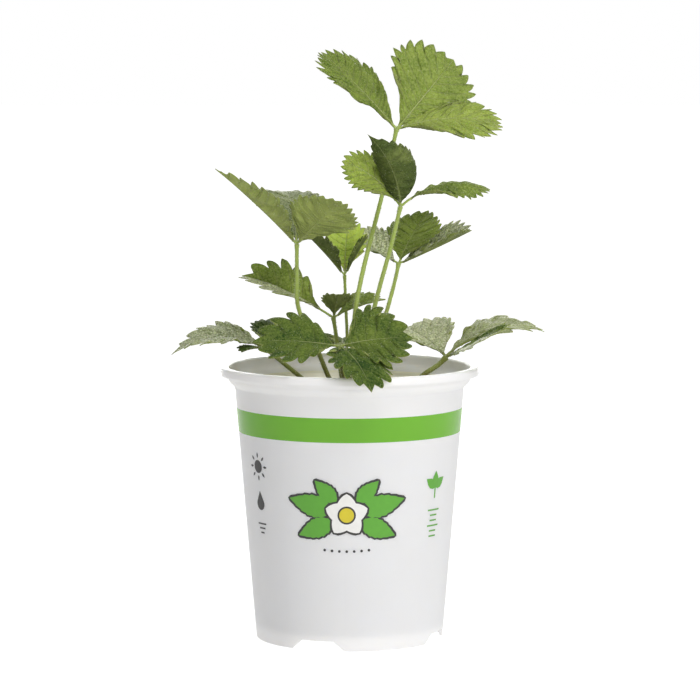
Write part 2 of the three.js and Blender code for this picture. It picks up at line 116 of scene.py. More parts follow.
def quads(a, b, c, d):
    """Faces of four corners each, from four grids of point numbers."""
    return np.stack([a, b, c, d], -1).reshape(-1, 4)


def finish(name, **values):
    """A material, its node tree, its shader with plain values set, and the place on the object."""
    material = bpy.data.materials.new(name)
    material.use_nodes = True
    tree = material.node_tree
    shader = tree.nodes["Principled BSDF"]
    feed(shader, {socket.replace("_", " "): value for socket, value in values.items()})
    return material, tree, shader, add(tree, "ShaderNodeTexCoord").outputs["Object"]


def mottled(name, dark, light, scale, detail, bump=None, stretch=1, **values):
    """A finish that a grain mottles between two colours; bump is that grain's strength and height."""
    material, tree, shader, place = finish(name, **values)
    upright = add(tree, "ShaderNodeMapping", {"Vector": place, "Scale": (1, 1, stretch)})
    grain = add(tree, "ShaderNodeTexNoise", {"Vector": upright, "Scale": scale, "Detail": detail})
    colour = add(tree, "ShaderNodeMix", {
        FACTOR: grain, COLOUR_A: dark, COLOUR_B: light}, data_type="RGBA")
    feed(shader, {"Base Color": colour})
    if bump:
        relief = add(tree, "ShaderNodeBump", {"Height": grain, "Strength": bump[0], "Distance": bump[1]})
        feed(shader, {"Normal": relief})
    return material


# %% [markdown]
# ## Camera, floor and light
# The photograph was taken from a little above the rim with a long lens. A long lens keeps the pot's
# sides nearly straight. Soft light comes from the front right and from above, so the pot's left side
# is greyer, and leaf faces that are seen at a low angle turn silvery. A weak lamp behind the plant
# shines through the thin wall and the leaves. The paper has two brightnesses: the camera sees it
# nearly white, and the light that it throws on the plant is set lower, on its own.

# %% Camera
CAMERA_AT = (0.2, -1350, 246)
CAMERA_AIM = (0.2, 0, 116)
LENS, SENSOR = 173.5, 36


def aim(obj, at, target):
    """Puts a camera or lamp at a place and points it at another, in millimetres from the axis."""
    obj.location = Vector((np.array(at) + AXIS) * MM)
    obj.rotation_euler = (Vector(target) - Vector(at)).to_track_quat("-Z", "Y").to_euler()


camera = new_object("camera", bpy.data.cameras.new("camera"))
aim(camera, CAMERA_AT, CAMERA_AIM)
camera.data.lens = LENS
camera.data.sensor_width = SENSOR
bpy.context.scene.camera = camera
bpy.context.scene.view_settings.view_transform = "Standard"
print("camera at", tuple(round(c, 3) for c in camera.location))

# %% Floor and sky
FLOOR_HALF, FLOOR_Z_BELOW = 9000, -0.05
SKY_LIGHT = 0.3
FLOOR_LIGHT, FLOOR_SEEN = 0.55, 0.97

floor_paper, tree, shader, _ = finish(
    "white paper floor", Base_Color="#a0a0a0", Roughness=0.9, Emission_Color="#ffffff")
paper_grain = add(tree, "ShaderNodeTexNoise", {"Scale": 40, "Detail": 2})
paper_bump = add(tree, "ShaderNodeBump", {"Height": paper_grain, "Strength": 0.02})
floor_seen = add(tree, "ShaderNodeLightPath").outputs["Is Camera Ray"]
glow = add(tree, "ShaderNodeMapRange", {"Value": floor_seen, "To Min": FLOOR_LIGHT, "To Max": FLOOR_SEEN})
feed(shader, {"Normal": paper_bump, "Emission Strength": glow})
corners = [(x * FLOOR_HALF, y * FLOOR_HALF, FLOOR_Z_BELOW) for x, y in ((-1, -1), (1, -1), (1, 1), (-1, 1))]
floor = piece("floor", corners, [(0, 1, 2, 3)], [floor_paper], smooth=False)

world = bpy.data.worlds.new("studio")
bpy.context.scene.world = world
world.use_nodes = True
sky = world.node_tree
sky.nodes.clear()
lighting = add(sky, "ShaderNodeBackground", {"Color": (1, 1, 1, 1), "Strength": SKY_LIGHT})
backdrop = add(sky, "ShaderNodeBackground", {"Color": (1, 1, 1, 1), "Strength": 1.0})
sky_seen = add(sky, "ShaderNodeLightPath").outputs["Is Camera Ray"]
both = add(sky, "ShaderNodeMixShader", [sky_seen, lighting, backdrop])
add(sky, "ShaderNodeOutputWorld", {"Surface": both})
print("floor and sky light:", FLOOR_LIGHT, SKY_LIGHT)

# %% Lamps
LAMPS = {
    "back lamp": dict(at=(-60, 900, 240), target=(0, 0, 120), size=800, watts=9),
    "key lamp": dict(at=(640, -940, 360), target=(0, 0, 110), size=420, watts=4.4),
    "top lamp": dict(at=(120, -400, 860), target=(0, 0, 120), size=460, watts=3.1),
}
for name, lamp in LAMPS.items():
    made = new_object(name, bpy.data.lights.new(name, "AREA"))
    made.data.size = lamp["size"] * MM
    made.data.energy = lamp["watts"]
    made.visible_camera = False
    aim(made, lamp["at"], lamp["target"])
    print(name, "watts:", lamp["watts"])

# %% [markdown]
# ## The pot
# The pot is injection-moulded polypropylene about 1.2 mm thick. Such a wall is satin, slightly
# translucent and has no sharp edge anywhere. A pot is a turned shape, so its profile is drawn once,
# every corner is rounded, and it is swept round the axis. The drainage notches and holes are then
# cut with a Boolean, as the mould's inserts leave them.

# %% Pot profile
POT_SEGMENTS = 192
FOOT_RADIUS, WALL, FLOOR_Z = 37.6, 1.2, 5
TAPER_TOP_RADIUS, TAPER_TOP_Z = 46.2, 101.8
POT_PROFILE = [
    (0, FLOOR_Z), (35.9, FLOOR_Z), (36.4, 0), (FOOT_RADIUS, 0), (TAPER_TOP_RADIUS, TAPER_TOP_Z),
    (47.2, 102.6), (48.6, 104), (48.9, 105.3), (49.5, 105.9), (49.7, 108.2), (51, 108.2),
    (51.1, 106.4), (51.6, 106.2), (52, 106.9), (52, 109), (51.5, 109.8), (50.4, 110), (49.3, 109.8),
    (48.6, 109.2), (47.9, 106), (47.5, 104.9), (46.1, 103.5), (45, 102.6), (36.9, 6.2), (0, 6.2)]
CORNER_RADIUS = 0.6
CORNER_STEPS = 3


def rounded(profile, radius, steps):
    """The profile with each corner replaced by a short curve."""
    out = [np.array(profile[0], float)]
    for before, corner, after in zip(profile, profile[1:], profile[2:]):
        before, corner, after = (np.array(p, float) for p in (before, corner, after))
        to_before, to_after = before - corner, after - corner
        cut = min(radius, 0.45 * np.linalg.norm(to_before), 0.45 * np.linalg.norm(to_after))
        start = corner + to_before / np.linalg.norm(to_before) * cut
        end = corner + to_after / np.linalg.norm(to_after) * cut
        for t in np.linspace(0, 1, steps + 1):
            out.append((1 - t) ** 2 * start + 2 * t * (1 - t) * corner + t ** 2 * end)
    out.append(np.array(profile[-1], float))
    return np.array(out)


def turned(name, profile, segments, materials):
    """A closed turned solid; the profile starts and ends on the axis and runs round the outside."""
    turns = 2 * np.pi * np.arange(segments) / segments
    inner = profile[1:-1]
    points = [(0, 0, profile[0][1])]
    for radius, z in inner:
        points += [(radius * math.cos(a), radius * math.sin(a), z) for a in turns]
    points.append((0, 0, profile[-1][1]))
    last = len(points) - 1
    faces = []
    for k in range(segments):
        n = (k + 1) % segments
        faces.append((0, 1 + n, 1 + k))
        for ring in range(len(inner) - 1):
            a, b = 1 + ring * segments, 1 + (ring + 1) * segments
            faces.append((a + k, a + n, b + n, b + k))
        top = 1 + (len(inner) - 1) * segments
        faces.append((top + k, top + n, last))
    return piece(name, points, faces, materials)


pot_line = rounded(POT_PROFILE, CORNER_RADIUS, CORNER_STEPS)
print("pot profile points:", len(pot_line))

# %% [markdown]
# ### White polypropylene with a printed band
# Moulded polypropylene has an index of refraction of 1.49 and a satin surface, roughness about 0.35.
# Light enters it a little, which softens its shadows. The green band is dry-offset ink, so it is a colour
# change with a crisp edge, and where the printing blanket begins and ends, at the back, two layers overlap
# and the green is darker. Inside, the wall is a warmer, brighter cream. That is painted bounce light from the
# soil, the leaves and the thin wall. Just above the soil the wall turns brown, which is soil dust together
# with painted shade.

# %% Pot material
BAND_LOW, BAND_HIGH = 83.8, 93.5
LAP_HALF = 1.2
SOIL_LINE = 92
DUST_AND_SHADE_REACH = 6

pot_plastic, tree, shader, place = finish(
    "injection-moulded white polypropylene", Roughness=0.34, IOR=1.49, Subsurface_Weight=0.7,
    Subsurface_Radius=(1.0, 0.95, 0.86), Subsurface_Scale=0.003, Specular_IOR_Level=0.45)
centred = add(tree, "ShaderNodeMapping", {"Vector": place, "Location": tuple(-AXIS * MM)})
x, y, z = add(tree, "ShaderNodeSeparateXYZ", [centred]).outputs
level = add(tree, "ShaderNodeCombineXYZ", [x, y])
radius = add(tree, "ShaderNodeVectorMath", [level], operation="LENGTH")
taper = (TAPER_TOP_RADIUS - FOOT_RADIUS) / TAPER_TOP_Z
wall_at = add(tree, "ShaderNodeMath", [z, taper, (FOOT_RADIUS - WALL / 2) * MM], operation="MULTIPLY_ADD")
outside = add(tree, "ShaderNodeMath", [radius, wall_at], operation="GREATER_THAN")
above = add(tree, "ShaderNodeMath", [z, BAND_LOW * MM], operation="GREATER_THAN")
below = add(tree, "ShaderNodeMath", [z, BAND_HIGH * MM], operation="LESS_THAN")
banded = add(tree, "ShaderNodeMath", [above, below], operation="MULTIPLY")
inked = add(tree, "ShaderNodeMath", [banded, outside], operation="MULTIPLY")
clouds = add(tree, "ShaderNodeTexNoise", {"Vector": place, "Scale": 45, "Detail": 3})
white = add(tree, "ShaderNodeMix", {
    FACTOR: clouds, COLOUR_A: "#f9f5f2", COLOUR_B: "#fcfaf8"}, data_type="RGBA")
lap = add(tree, "ShaderNodeMath", [x, 0, LAP_HALF * MM], operation="COMPARE")
behind = add(tree, "ShaderNodeMath", [y, 0], operation="GREATER_THAN")
lapped = add(tree, "ShaderNodeMath", [lap, behind], operation="MULTIPLY")
green = add(tree, "ShaderNodeMix", {
    FACTOR: lapped, COLOUR_A: "#78bb31", COLOUR_B: "#5c9d24"}, data_type="RGBA")
beneath = add(tree, "ShaderNodeMath", [z, (FLOOR_Z + WALL / 2) * MM], operation="LESS_THAN")
not_inside = add(tree, "ShaderNodeMath", [outside, beneath], operation="MAXIMUM")
# Inside colour: a warmer, brighter cream that paints the light bouncing about inside the pot
painted_bounce_cream = add(tree, "ShaderNodeMix", {
    FACTOR: not_inside, COLOUR_A: "#fdf6e4", COLOUR_B: white}, data_type="RGBA")
printed = add(tree, "ShaderNodeMix", {
    FACTOR: inked, COLOUR_A: painted_bounce_cream, COLOUR_B: green}, data_type="RGBA")
# Brown just above the soil line, soil dust and painted shade together, broken up by a fine grain
dust_and_shade_grain = add(tree, "ShaderNodeTexNoise", {"Vector": place, "Scale": 320, "Detail": 5, "Roughness": 0.7})
dust_and_shade_height = add(tree, "ShaderNodeMapRange", {
    "Value": z, "From Min": SOIL_LINE * MM, "From Max": (SOIL_LINE + DUST_AND_SHADE_REACH) * MM,
    "To Min": 1.05, "To Max": 0.35})
cover = add(tree, "ShaderNodeMath", [dust_and_shade_height, dust_and_shade_grain], operation="SUBTRACT")
dust_and_shade = add(tree, "ShaderNodeMapRange", {
    "Value": cover, "From Min": 0.02, "From Max": 0.5, "To Min": 0, "To Max": 0.45})
inside = add(tree, "ShaderNodeMath", [1, not_inside], operation="SUBTRACT")
dusty_and_shaded = add(tree, "ShaderNodeMath", [dust_and_shade, inside], operation="MULTIPLY")
coloured = add(tree, "ShaderNodeMix", {
    FACTOR: dusty_and_shaded, COLOUR_A: printed, COLOUR_B: "#8a7c5e"}, data_type="RGBA")
rough = add(tree, "ShaderNodeMapRange", {"Value": inked, "To Min": 0.36, "To Max": 0.26})
skin = add(tree, "ShaderNodeTexNoise", {"Vector": place, "Scale": 1400, "Detail": 2})
pot_bump = add(tree, "ShaderNodeBump", {"Height": skin, "Strength": 0.05, "Distance": 0.0001})
feed(shader, {"Base Color": coloured, "Roughness": rough, "Normal": pot_bump})
print("pot material nodes:", len(tree.nodes))

# %% Pot mesh, with its notches and holes cut
NOTCH_ANGLES = (-110, -20, 70, 160)
NOTCH_LOW_HALF, NOTCH_TOP_HALF, NOTCH_HEIGHT = 11.2, 6.75, 4
NOTCH_NEAR, NOTCH_FAR = 30, 46
DRAIN_RADIUS, DRAIN_RING, DRAIN_SIDES = 4.5, 22, 32
SHARP_ANGLE = math.radians(32)


def prism(points, faces, ring_a, ring_b):
    """Adds a closed prism between two rings of points."""
    start, count = len(points), len(ring_a)
    points += ring_a + ring_b
    faces.append([start + i for i in reversed(range(count))])
    faces.append([start + count + i for i in range(count)])
    for i in range(count):
        j = (i + 1) % count
        faces.append([start + i, start + j, start + count + j, start + count + i])


pot = turned("pot_fine", pot_line, POT_SEGMENTS, [pot_plastic])
cut_points, cut_faces = [], []
slant = (NOTCH_LOW_HALF - NOTCH_TOP_HALF) / NOTCH_HEIGHT
section = [(-NOTCH_LOW_HALF - slant, -1), (NOTCH_LOW_HALF + slant, -1),
           (NOTCH_TOP_HALF, NOTCH_HEIGHT), (-NOTCH_TOP_HALF, NOTCH_HEIGHT)]
for degrees in NOTCH_ANGLES:
    c, s = math.cos(math.radians(degrees)), math.sin(math.radians(degrees))
    rings = [[(r * c - y * s, r * s + y * c, z) for y, z in section] for r in (NOTCH_NEAR, NOTCH_FAR)]
    prism(cut_points, cut_faces, *rings)
drain_places = [(0, 0)] + [(DRAIN_RING * math.cos(math.radians(a)), DRAIN_RING * math.sin(math.radians(a)))
                           for a in NOTCH_ANGLES]
for x, y in drain_places:
    circle = [(x + DRAIN_RADIUS * math.cos(2 * math.pi * k / DRAIN_SIDES),
               y + DRAIN_RADIUS * math.sin(2 * math.pi * k / DRAIN_SIDES)) for k in range(DRAIN_SIDES)]
    prism(cut_points, cut_faces, [(*p, FLOOR_Z - 1) for p in circle], [(*p, FLOOR_Z + 3) for p in circle])
cutter = piece("mould inserts", cut_points, cut_faces, smooth=False)
cutting = pot.modifiers.new("cut", "BOOLEAN")
cutting.object = cutter
cutting.solver = "EXACT"
cut_mesh = bpy.data.meshes.new_from_object(pot.evaluated_get(bpy.context.evaluated_depsgraph_get()))
pot.modifiers.clear()
pot.data = cut_mesh
bpy.data.objects.remove(cutter)
pot.data.set_sharp_from_angle(angle=SHARP_ANGLE)
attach(pot, "root")
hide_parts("pot")
print("pot faces:", len(pot.data.polygons))

# %% [markdown]
# ## The printed design
# Nursery pots carry a pad-printed design. This one is plain ornament: a blossom between leaves on
# the front, and a few signs for sun and water at the sides. Ink is a film, so each shape is a thin
# closed solid. It is cut into narrow strips first, so that it can bend round the pot, and darker
# ink lies under lighter ink, which shows as its outline.

# %% Ink shapes on the pot
STRIP = 1.5
INK_SUNK = 0.04
LOWER_INK, UPPER_INK = 0.05, 0.09


def wall_radius(z):
    """Radius of the tapered wall's outside at a height."""
    return FOOT_RADIUS + (TAPER_TOP_RADIUS - FOOT_RADIUS) * z / TAPER_TOP_Z


print_mesh = bmesh.new()


def ink_shape(outline, middle, ink, height=LOWER_INK):
    """Adds a flat outline, (across, up) in millimetres round a place on the wall, as a film of ink."""
    flat_mesh = bmesh.new()
    flat_mesh.faces.new([flat_mesh.verts.new((x, 0, z)) for x, z in outline])
    xs = [x for x, z in outline]
    cuts = np.arange(math.ceil(min(xs) / STRIP), math.ceil(max(xs) / STRIP)) * STRIP
    for cut in cuts:
        everything = flat_mesh.verts[:] + flat_mesh.edges[:] + flat_mesh.faces[:]
        bmesh.ops.bisect_plane(flat_mesh, geom=everything, plane_co=(float(cut), 0, 0), plane_no=(1, 0, 0))
    bmesh.ops.recalc_face_normals(flat_mesh, faces=flat_mesh.faces[:])
    if flat_mesh.faces[:][0].normal.y > 0:
        bmesh.ops.reverse_faces(flat_mesh, faces=flat_mesh.faces[:])
    raised = bmesh.ops.extrude_face_region(flat_mesh, geom=flat_mesh.faces[:])
    top = {v for v in raised["geom"] if isinstance(v, bmesh.types.BMVert)}
    for vert in flat_mesh.verts:
        vert.co.y = height if vert in top else -INK_SUNK
    bmesh.ops.recalc_face_normals(flat_mesh, faces=flat_mesh.faces[:])
    angle, centre_z = middle
    made = {}
    for vert in flat_mesh.verts:
        z = centre_z + vert.co.z
        turn = math.radians(angle) + vert.co.x / wall_radius(centre_z)
        r = wall_radius(z) + vert.co.y
        on_wall = Vector((r * math.cos(turn), r * math.sin(turn), z)) + Vector(AXIS)
        made[vert] = print_mesh.verts.new(on_wall * MM)
    for face in flat_mesh.faces:
        print_mesh.faces.new([made[v] for v in face.verts]).material_index = ink
    flat_mesh.free()


def circle_line(x, z, radius, sides=28):
    """Outline of a dot."""
    turns = [2 * math.pi * k / sides for k in range(sides)]
    return [(x + radius * math.cos(a), z + radius * math.sin(a)) for a in turns]


def mirrored(side, x, z, degrees):
    """The whole outline from its left side, turned and moved to its base."""
    a = math.radians(degrees)
    outline = side + [(u, -v) for u, v in reversed(side[1:-1])]
    return [(x + u * math.cos(a) - v * math.sin(a), z + u * math.sin(a) + v * math.cos(a))
            for u, v in outline]


def leaf_line(x, z, length, width, degrees, teeth=7, grow=0.0):
    """Outline of a toothed leaf from its base; grow makes it larger all round."""
    steps = teeth * 4
    side = []
    for i in range(steps + 1):
        t = i / steps
        saw = (i % 4) / 4
        half = width / 2 * math.sin(math.pi * t ** 0.8) * (0.9 + 0.14 * saw) + grow
        side.append((t * (length + 2 * grow) - grow, half if 0 < i < steps else 0))
    return mirrored(side, x, z, degrees)


def petal_line(length, width, degrees, grow=0.0):
    """Outline of a petal from the blossom's middle."""
    side = []
    for i in range(13):
        t = i / 12
        half = width / 2 * math.sin(math.pi * t ** 0.75) ** 0.7 + grow
        side.append((t * (length + 2 * grow) - grow, half if 0 < i < 12 else 0))
    return mirrored(side, 0, 0, degrees)


def drop_line(x, z, radius, height, sides=24):
    """Outline of a water drop."""
    points = [(x, z + height)]
    for k in range(sides + 1):
        a = math.radians(35 - 250 * k / sides)
        points.append((x + radius * math.cos(a), z + radius * math.sin(a)))
    return points


def bar_line(x, z, width, height):
    """Outline of a bar."""
    return [(x - width / 2, z - height / 2), (x + width / 2, z - height / 2),
            (x + width / 2, z + height / 2), (x - width / 2, z + height / 2)]


INKS = {"charcoal": "#3c3b39", "leaf green": "#62ab38", "yellow": "#dccb33", "white": "#f3f2ee"}
CHARCOAL, GREEN, YELLOW, WHITE = range(4)
inks = []
for name, code in INKS.items():
    ink, tree, shader, place = finish(name + " pad-print ink", Roughness=0.3, IOR=1.5)
    flow = add(tree, "ShaderNodeTexNoise", {"Vector": place, "Scale": 500, "Detail": 2})
    spread = add(tree, "ShaderNodeMapRange", {"Value": flow, "To Min": 0.93, "To Max": 1.07})
    depth = add(tree, "ShaderNodeHueSaturation", {"Color": code, "Value": spread})
    feed(shader, {"Base Color": depth})
    inks.append(ink)

OUTLINE = 0.75
BLOSSOM, SUN, DROP, SCALE = (-91.5, 55), (-146, 72), (-146, 57), (-146, 49)
SPROUT, RULER = (-38, 64), (-38, 55)
PRINTED_LEAVES = ((5, 1.5, 19, 9, 14), (5, -2.5, 16, 8, -22), (4, 5, 12, 6.5, 46),
                  (-5, 1.5, 19, 9, 166), (-5, -2.5, 16, 8, 202), (-4, 5, 12, 6.5, 134))
PETAL_LENGTH, PETAL_WIDTH, PETAL_TILTS = 8.6, 7.6, (90, 162, 234, 306, 378)
for leaf in PRINTED_LEAVES:
    ink_shape(leaf_line(*leaf, grow=OUTLINE), BLOSSOM, CHARCOAL)
    ink_shape(leaf_line(*leaf), BLOSSOM, GREEN, UPPER_INK)
for above, grow, ink in ((0.01, OUTLINE, CHARCOAL), (0.03, 0.0, WHITE)):
    for k, tilt in enumerate(PETAL_TILTS):
        petal = petal_line(PETAL_LENGTH, PETAL_WIDTH, tilt, grow)
        ink_shape(petal, BLOSSOM, ink, UPPER_INK + above + 0.002 * k)
ink_shape(circle_line(0, 0, 3.6), BLOSSOM, CHARCOAL, UPPER_INK + 0.05)
ink_shape(circle_line(0, 0, 2.9), BLOSSOM, YELLOW, UPPER_INK + 0.06)
for x in range(-9, 10, 3):
    ink_shape(circle_line(x, -14 - 0.03 * (81 - x * x) * 0.2, 0.55, 12), BLOSSOM, CHARCOAL)

ink_shape(circle_line(0, 0, 2.6), SUN, CHARCOAL)
for k in range(8):
    a = k * math.pi / 4
    ink_shape(leaf_line(3.5 * math.cos(a), 3.5 * math.sin(a), 2.2, 1, k * 45, teeth=1), SUN, CHARCOAL)
ink_shape(drop_line(0, 0, 2.5, 5.2), DROP, CHARCOAL)
for row in range(3):
    ink_shape(bar_line(0, -row * 1.8, 5.5 - 1.6 * row, 0.6), SCALE, CHARCOAL)
for tilt in (90, 35, 145):
    ink_shape(leaf_line(0, 0, 6.6, 4, tilt, teeth=4), SPROUT, GREEN)
ink_shape(bar_line(0, -2, 0.7, 4.5), SPROUT, GREEN)
for row in range(6):
    ink_shape(bar_line(0, -row * 2.1, 7 if row % 3 == 0 else 4.2, 0.6), RULER, GREEN)
print_piece = new_object("pot_print", bpy.data.meshes.new("pot_print"))
print_mesh.to_mesh(print_piece.data)
print_mesh.free()
for ink in inks:
    print_piece.data.materials.append(ink)
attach(print_piece, "root")
print("ink faces:", len(print_piece.data.polygons))

# %% [markdown]
# ## Leaves
# A strawberry leaf has a long stalk and three leaflets. Each leaflet is drawn by a rule: veins leave
# the midrib and each ends in a tooth of the margin. Rows of points follow the veins and columns run
# from the midrib to the margin, so a vein is a row, and the blade can swell between two rows as a
# real leaflet does. Mesh code is used because the rule is one formula for the whole surface.

# %% What each leaf is like
# The first part of an entry repeats the CAD: petiole radii, socket, path, and for each leaflet its
# heading, rise, roll, length and width, the fold at the midrib, curl across and arch along it, the
# number of teeth on a half, how deep they are, and the share of the margin that is bare of them.
# Bend turns the midrib sideways, taper draws the blade's tip in, skew makes one half wider, and stalk is the
# leaflet's own stalk. Looks: tone is from dark green 0 to yellow-green 1, and it also carries painted light.
# Leaflets in light get a higher tone, leaflets in shade a lower one, and more than 1 paints light shining
# through. Under is that of the lower side, with painted light and shade in the same way. Silver says which
# half has a dense coat of hairs with a painted silvery sheen, and coat how strong the hairs' pale bloom and
# that painted sheen are. Quilt is the swelling between veins as a share of the length, wave the waviness of
# the margin, and blunt rounds the teeth.
PLAIN_LEAFLET = dict(
    roll=0, curl=-10, bend=0, taper=1.45, skew=0, stalk=2, teeth=8, tooth=1, bare=0.2, tone=0.5,
    under=0.5, silver="none", coat=1, quilt=0.006, wave=0.009, blunt=1.3)


def leaflet(heading, rise, length, width, fold, arch, **other):
    """A leaflet's values, plain where none is given."""
    size = dict(heading=heading, rise=rise, length=length, width=width, fold=fold, arch=arch)
    return {**PLAIN_LEAFLET, **size, **other}


LEAVES = {
    "leaf_top": dict(slot="leaf_bright", radius=(1, 0.8), socket=(0.8, 3),
                     path=[(2.5, -2.5, 133), (14, 15, 181), (19, 17, 204)], leaflets=[
        leaflet(155, 47, 42, 31, 6, -10, roll=-8, skew=-0.22, bare=0.45, tone=0.52, coat=0.6, quilt=0.008),
        leaflet(42, 41, 43, 35, 14, -18, roll=58, curl=-30, skew=0.1, bare=0.3, tone=0.67, quilt=0.008),
        leaflet(-6, 19, 39.5, 32, 8, -38, roll=24, skew=-0.16, bare=0.35, tone=0.9, coat=1, quilt=0.008)]),
    "leaf_second": dict(slot="leaf_dark", radius=(1, 0.8), socket=(2.6, -0.2),
                        path=[(10, -2, 133.5), (16.5, -5, 158), (20.3, -6, 174)], leaflets=[
        leaflet(170, 54, 26, 15, 5, -15, roll=-55, bend=36, stalk=3, tone=0.84, coat=0.4, quilt=0.007),
        leaflet(262, 67, 32, 24, 8, 0, curl=80, bend=-46, taper=0.65, tooth=0.4, bare=0.4,
                tone=0.4, under=0.03, quilt=0.002),
        leaflet(0, 38, 33, 20, 0, -68, roll=8, curl=-40, skew=-0.15, stalk=5, tooth=0.7,
                bare=0.3, tone=0.45)]),
    "leaf_third": dict(slot="leaf_mid", radius=(0.95, 0.75), socket=(4.3, 3.3),
                       path=[(15.5, 9, 132.5), (19, 21, 144.5), (20, 25, 149)], leaflets=[
        leaflet(150, 28, 23, 22, 26, -12, roll=-14, tone=0.25, silver="both", under=0.15),
        leaflet(38, 60, 23.5, 31, 10, -15, taper=1.05, tone=0.6, coat=0.7, quilt=0.011, blunt=1.8),
        leaflet(-12, 23, 30, 18, 32, 4, roll=12, skew=0.15, tone=0.2, silver="both", under=0.35)]),
    "leaf_left": dict(slot="leaf_silver", radius=(1, 0.75), socket=(-4.2, -2.2),
                      path=[(-8.5, -2, 105.5), (-12.5, -3, 115.5), (-20.5, -4, 133.5), (-21, -5, 144.5),
                            (-21, -6, 159)], leaflets=[
        leaflet(203, 45, 43, 27, 22, -8, taper=0.8, tooth=0.7, bare=0.35, tone=0.4, under=0.65,
                quilt=0.006),
        leaflet(100, 64, 31, 27, 10, -60, curl=-20, tone=0.1, silver="both", coat=0.3, under=0.5),
        leaflet(-48, 38, 31, 27, 10, -14, roll=-30, taper=1.1, tooth=0.8, bare=0.4, tone=0.4, under=0.6,
                quilt=0.006)]),
    "leaf_young": dict(slot="leaf_bright", radius=(0.7, 0.6), socket=(-2.6, 3.6),
                       path=[(-1, 13.5, 118), (-1.5, 15.5, 132), (-2, 14, 145)], leaflets=[
        leaflet(200, 50, 24, 16, 28, -10, taper=1.1, tone=0.25, under=0.15),
        leaflet(84, 66, 23, 15, 5, -10, taper=1.1, tone=1.7, under=1.1, quilt=0.012),
        leaflet(-12, 63, 16, 9, 30, -10, roll=10, teeth=6, tone=0.2, under=0.2)]),
    "leaf_low_left": dict(slot="leaf_mid", radius=(0.95, 0.75), socket=(-1.6, 0.2),
                          path=[(-3.5, 3, 107), (-5, 5, 118.5), (-6.5, 6, 128.5)], leaflets=[
        leaflet(168, 31, 33, 18.5, 32, -24, roll=-30, taper=1.15, stalk=7, skew=-0.05, teeth=5, tooth=1.7,
                tone=0.62, silver="left", quilt=0.013, blunt=1.8),
        leaflet(20, 30, 20, 16, 20, -30, roll=10, tone=0.5),
        leaflet(-78, 48, 13, 12, 20, -15, teeth=6, tone=0.4, under=0.2)]),
    "leaf_front": dict(slot="leaf_dark", radius=(1.1, 0.85), socket=(0.4, -3.4),
                       path=[(-2.5, -10, 108), (-3.5, -24, 117.5), (-4, -32, 120.5)], leaflets=[
        leaflet(184, 10, 30, 28, 12, -18, roll=-30, taper=0.95, teeth=5, tooth=1.9, tone=0.24, coat=0.4,
                blunt=2, quilt=0.009, wave=0.016),
        leaflet(5, 14, 26, 33, 12, -24, roll=34, taper=0.95, teeth=6, tooth=1.9, tone=0.25, coat=0.35,
                blunt=2, quilt=0.008),
        leaflet(-64, -9.5, 31, 22, 10, -35, roll=-8, taper=1.05, teeth=6, tooth=1.6, tone=0.16, coat=0.3,
                blunt=2, quilt=0.008, wave=0.016)]),
    "leaf_rim_right": dict(slot="leaf_silver", radius=(1.2, 1), socket=(5.9, -1.4),
                           path=[(22.5, 0, 99), (30, 1, 106), (36, 2, 110), (39, 2, 113)], leaflets=[
        leaflet(131, 32, 25, 26, 16, -25, roll=-10, skew=-0.2, tone=0.55, silver="both", blunt=1.8),
        leaflet(14, 45, 41, 21, 8, -70, roll=12, tone=0.5, silver="both", coat=0.35),
        leaflet(-38, 24, 29, 26, 10, 0, roll=18, skew=-0.35, tone=0.2, silver="right")]),
    "leaf_rim_left": dict(slot="leaf_silver", radius=(0.95, 0.85), socket=(-5.6, 1.4),
                          path=[(-12.5, 1, 99.5), (-20.5, 2, 105.5), (-26, 2, 110), (-34.5, 2, 117)],
                          leaflets=[
        leaflet(184, 24, 36, 23, 15, -66, roll=-15, taper=0.85, tone=0.3, silver="both", coat=0.85),
        leaflet(70, 24, 24, 22, 10, -10, tone=0.1, silver="right"),
        leaflet(225, 2, 10, 9, 20, -20, teeth=6, tone=0.15)]),
    "leaf_back": dict(slot="leaf_mid", radius=(0.95, 0.75), socket=(-1.4, 6.2),
                      path=[(-2, 14, 104), (-3, 26, 112), (-3, 32, 115)], leaflets=[
        leaflet(165, 14, 25, 22, 15, -25, tone=0.25),
        leaflet(90, 12, 30, 26, 15, -40, tone=0.3),
        leaflet(15, 14, 25, 22, 15, -25, tone=0.25)]),
}
print("leaflets:", sum(len(leaf["leaflets"]) for leaf in LEAVES.values()))

# %% [markdown]
# ### Leaf materials
# A leaf is 0.3 mm thick, and light passes through it, so the shader has a subsurface part. Its upper face is
# satin, roughness 0.55 to 0.7, with pale veins, a net of small veins between them and a bloom of fine hairs,
# which sheen turns silvery at low angles. The bloom also paints a pale silvery sheen into the colour,
# strongest on the silver halves. The lower face is paler, with raised veins.
# The mesh says where the pattern is: the UV map "veins" holds the distance to the nearest side vein and to
# the midrib, in vein half-widths. It also carries the leaf's tone, with painted light and shade in it, which
# the veins follow. It also carries the density of its coat of hairs and of its painted sheen.

# %% Materials of the leaf faces
AREOLE = 1.15
PATCH = 9
VEIN_TONE = 0.95


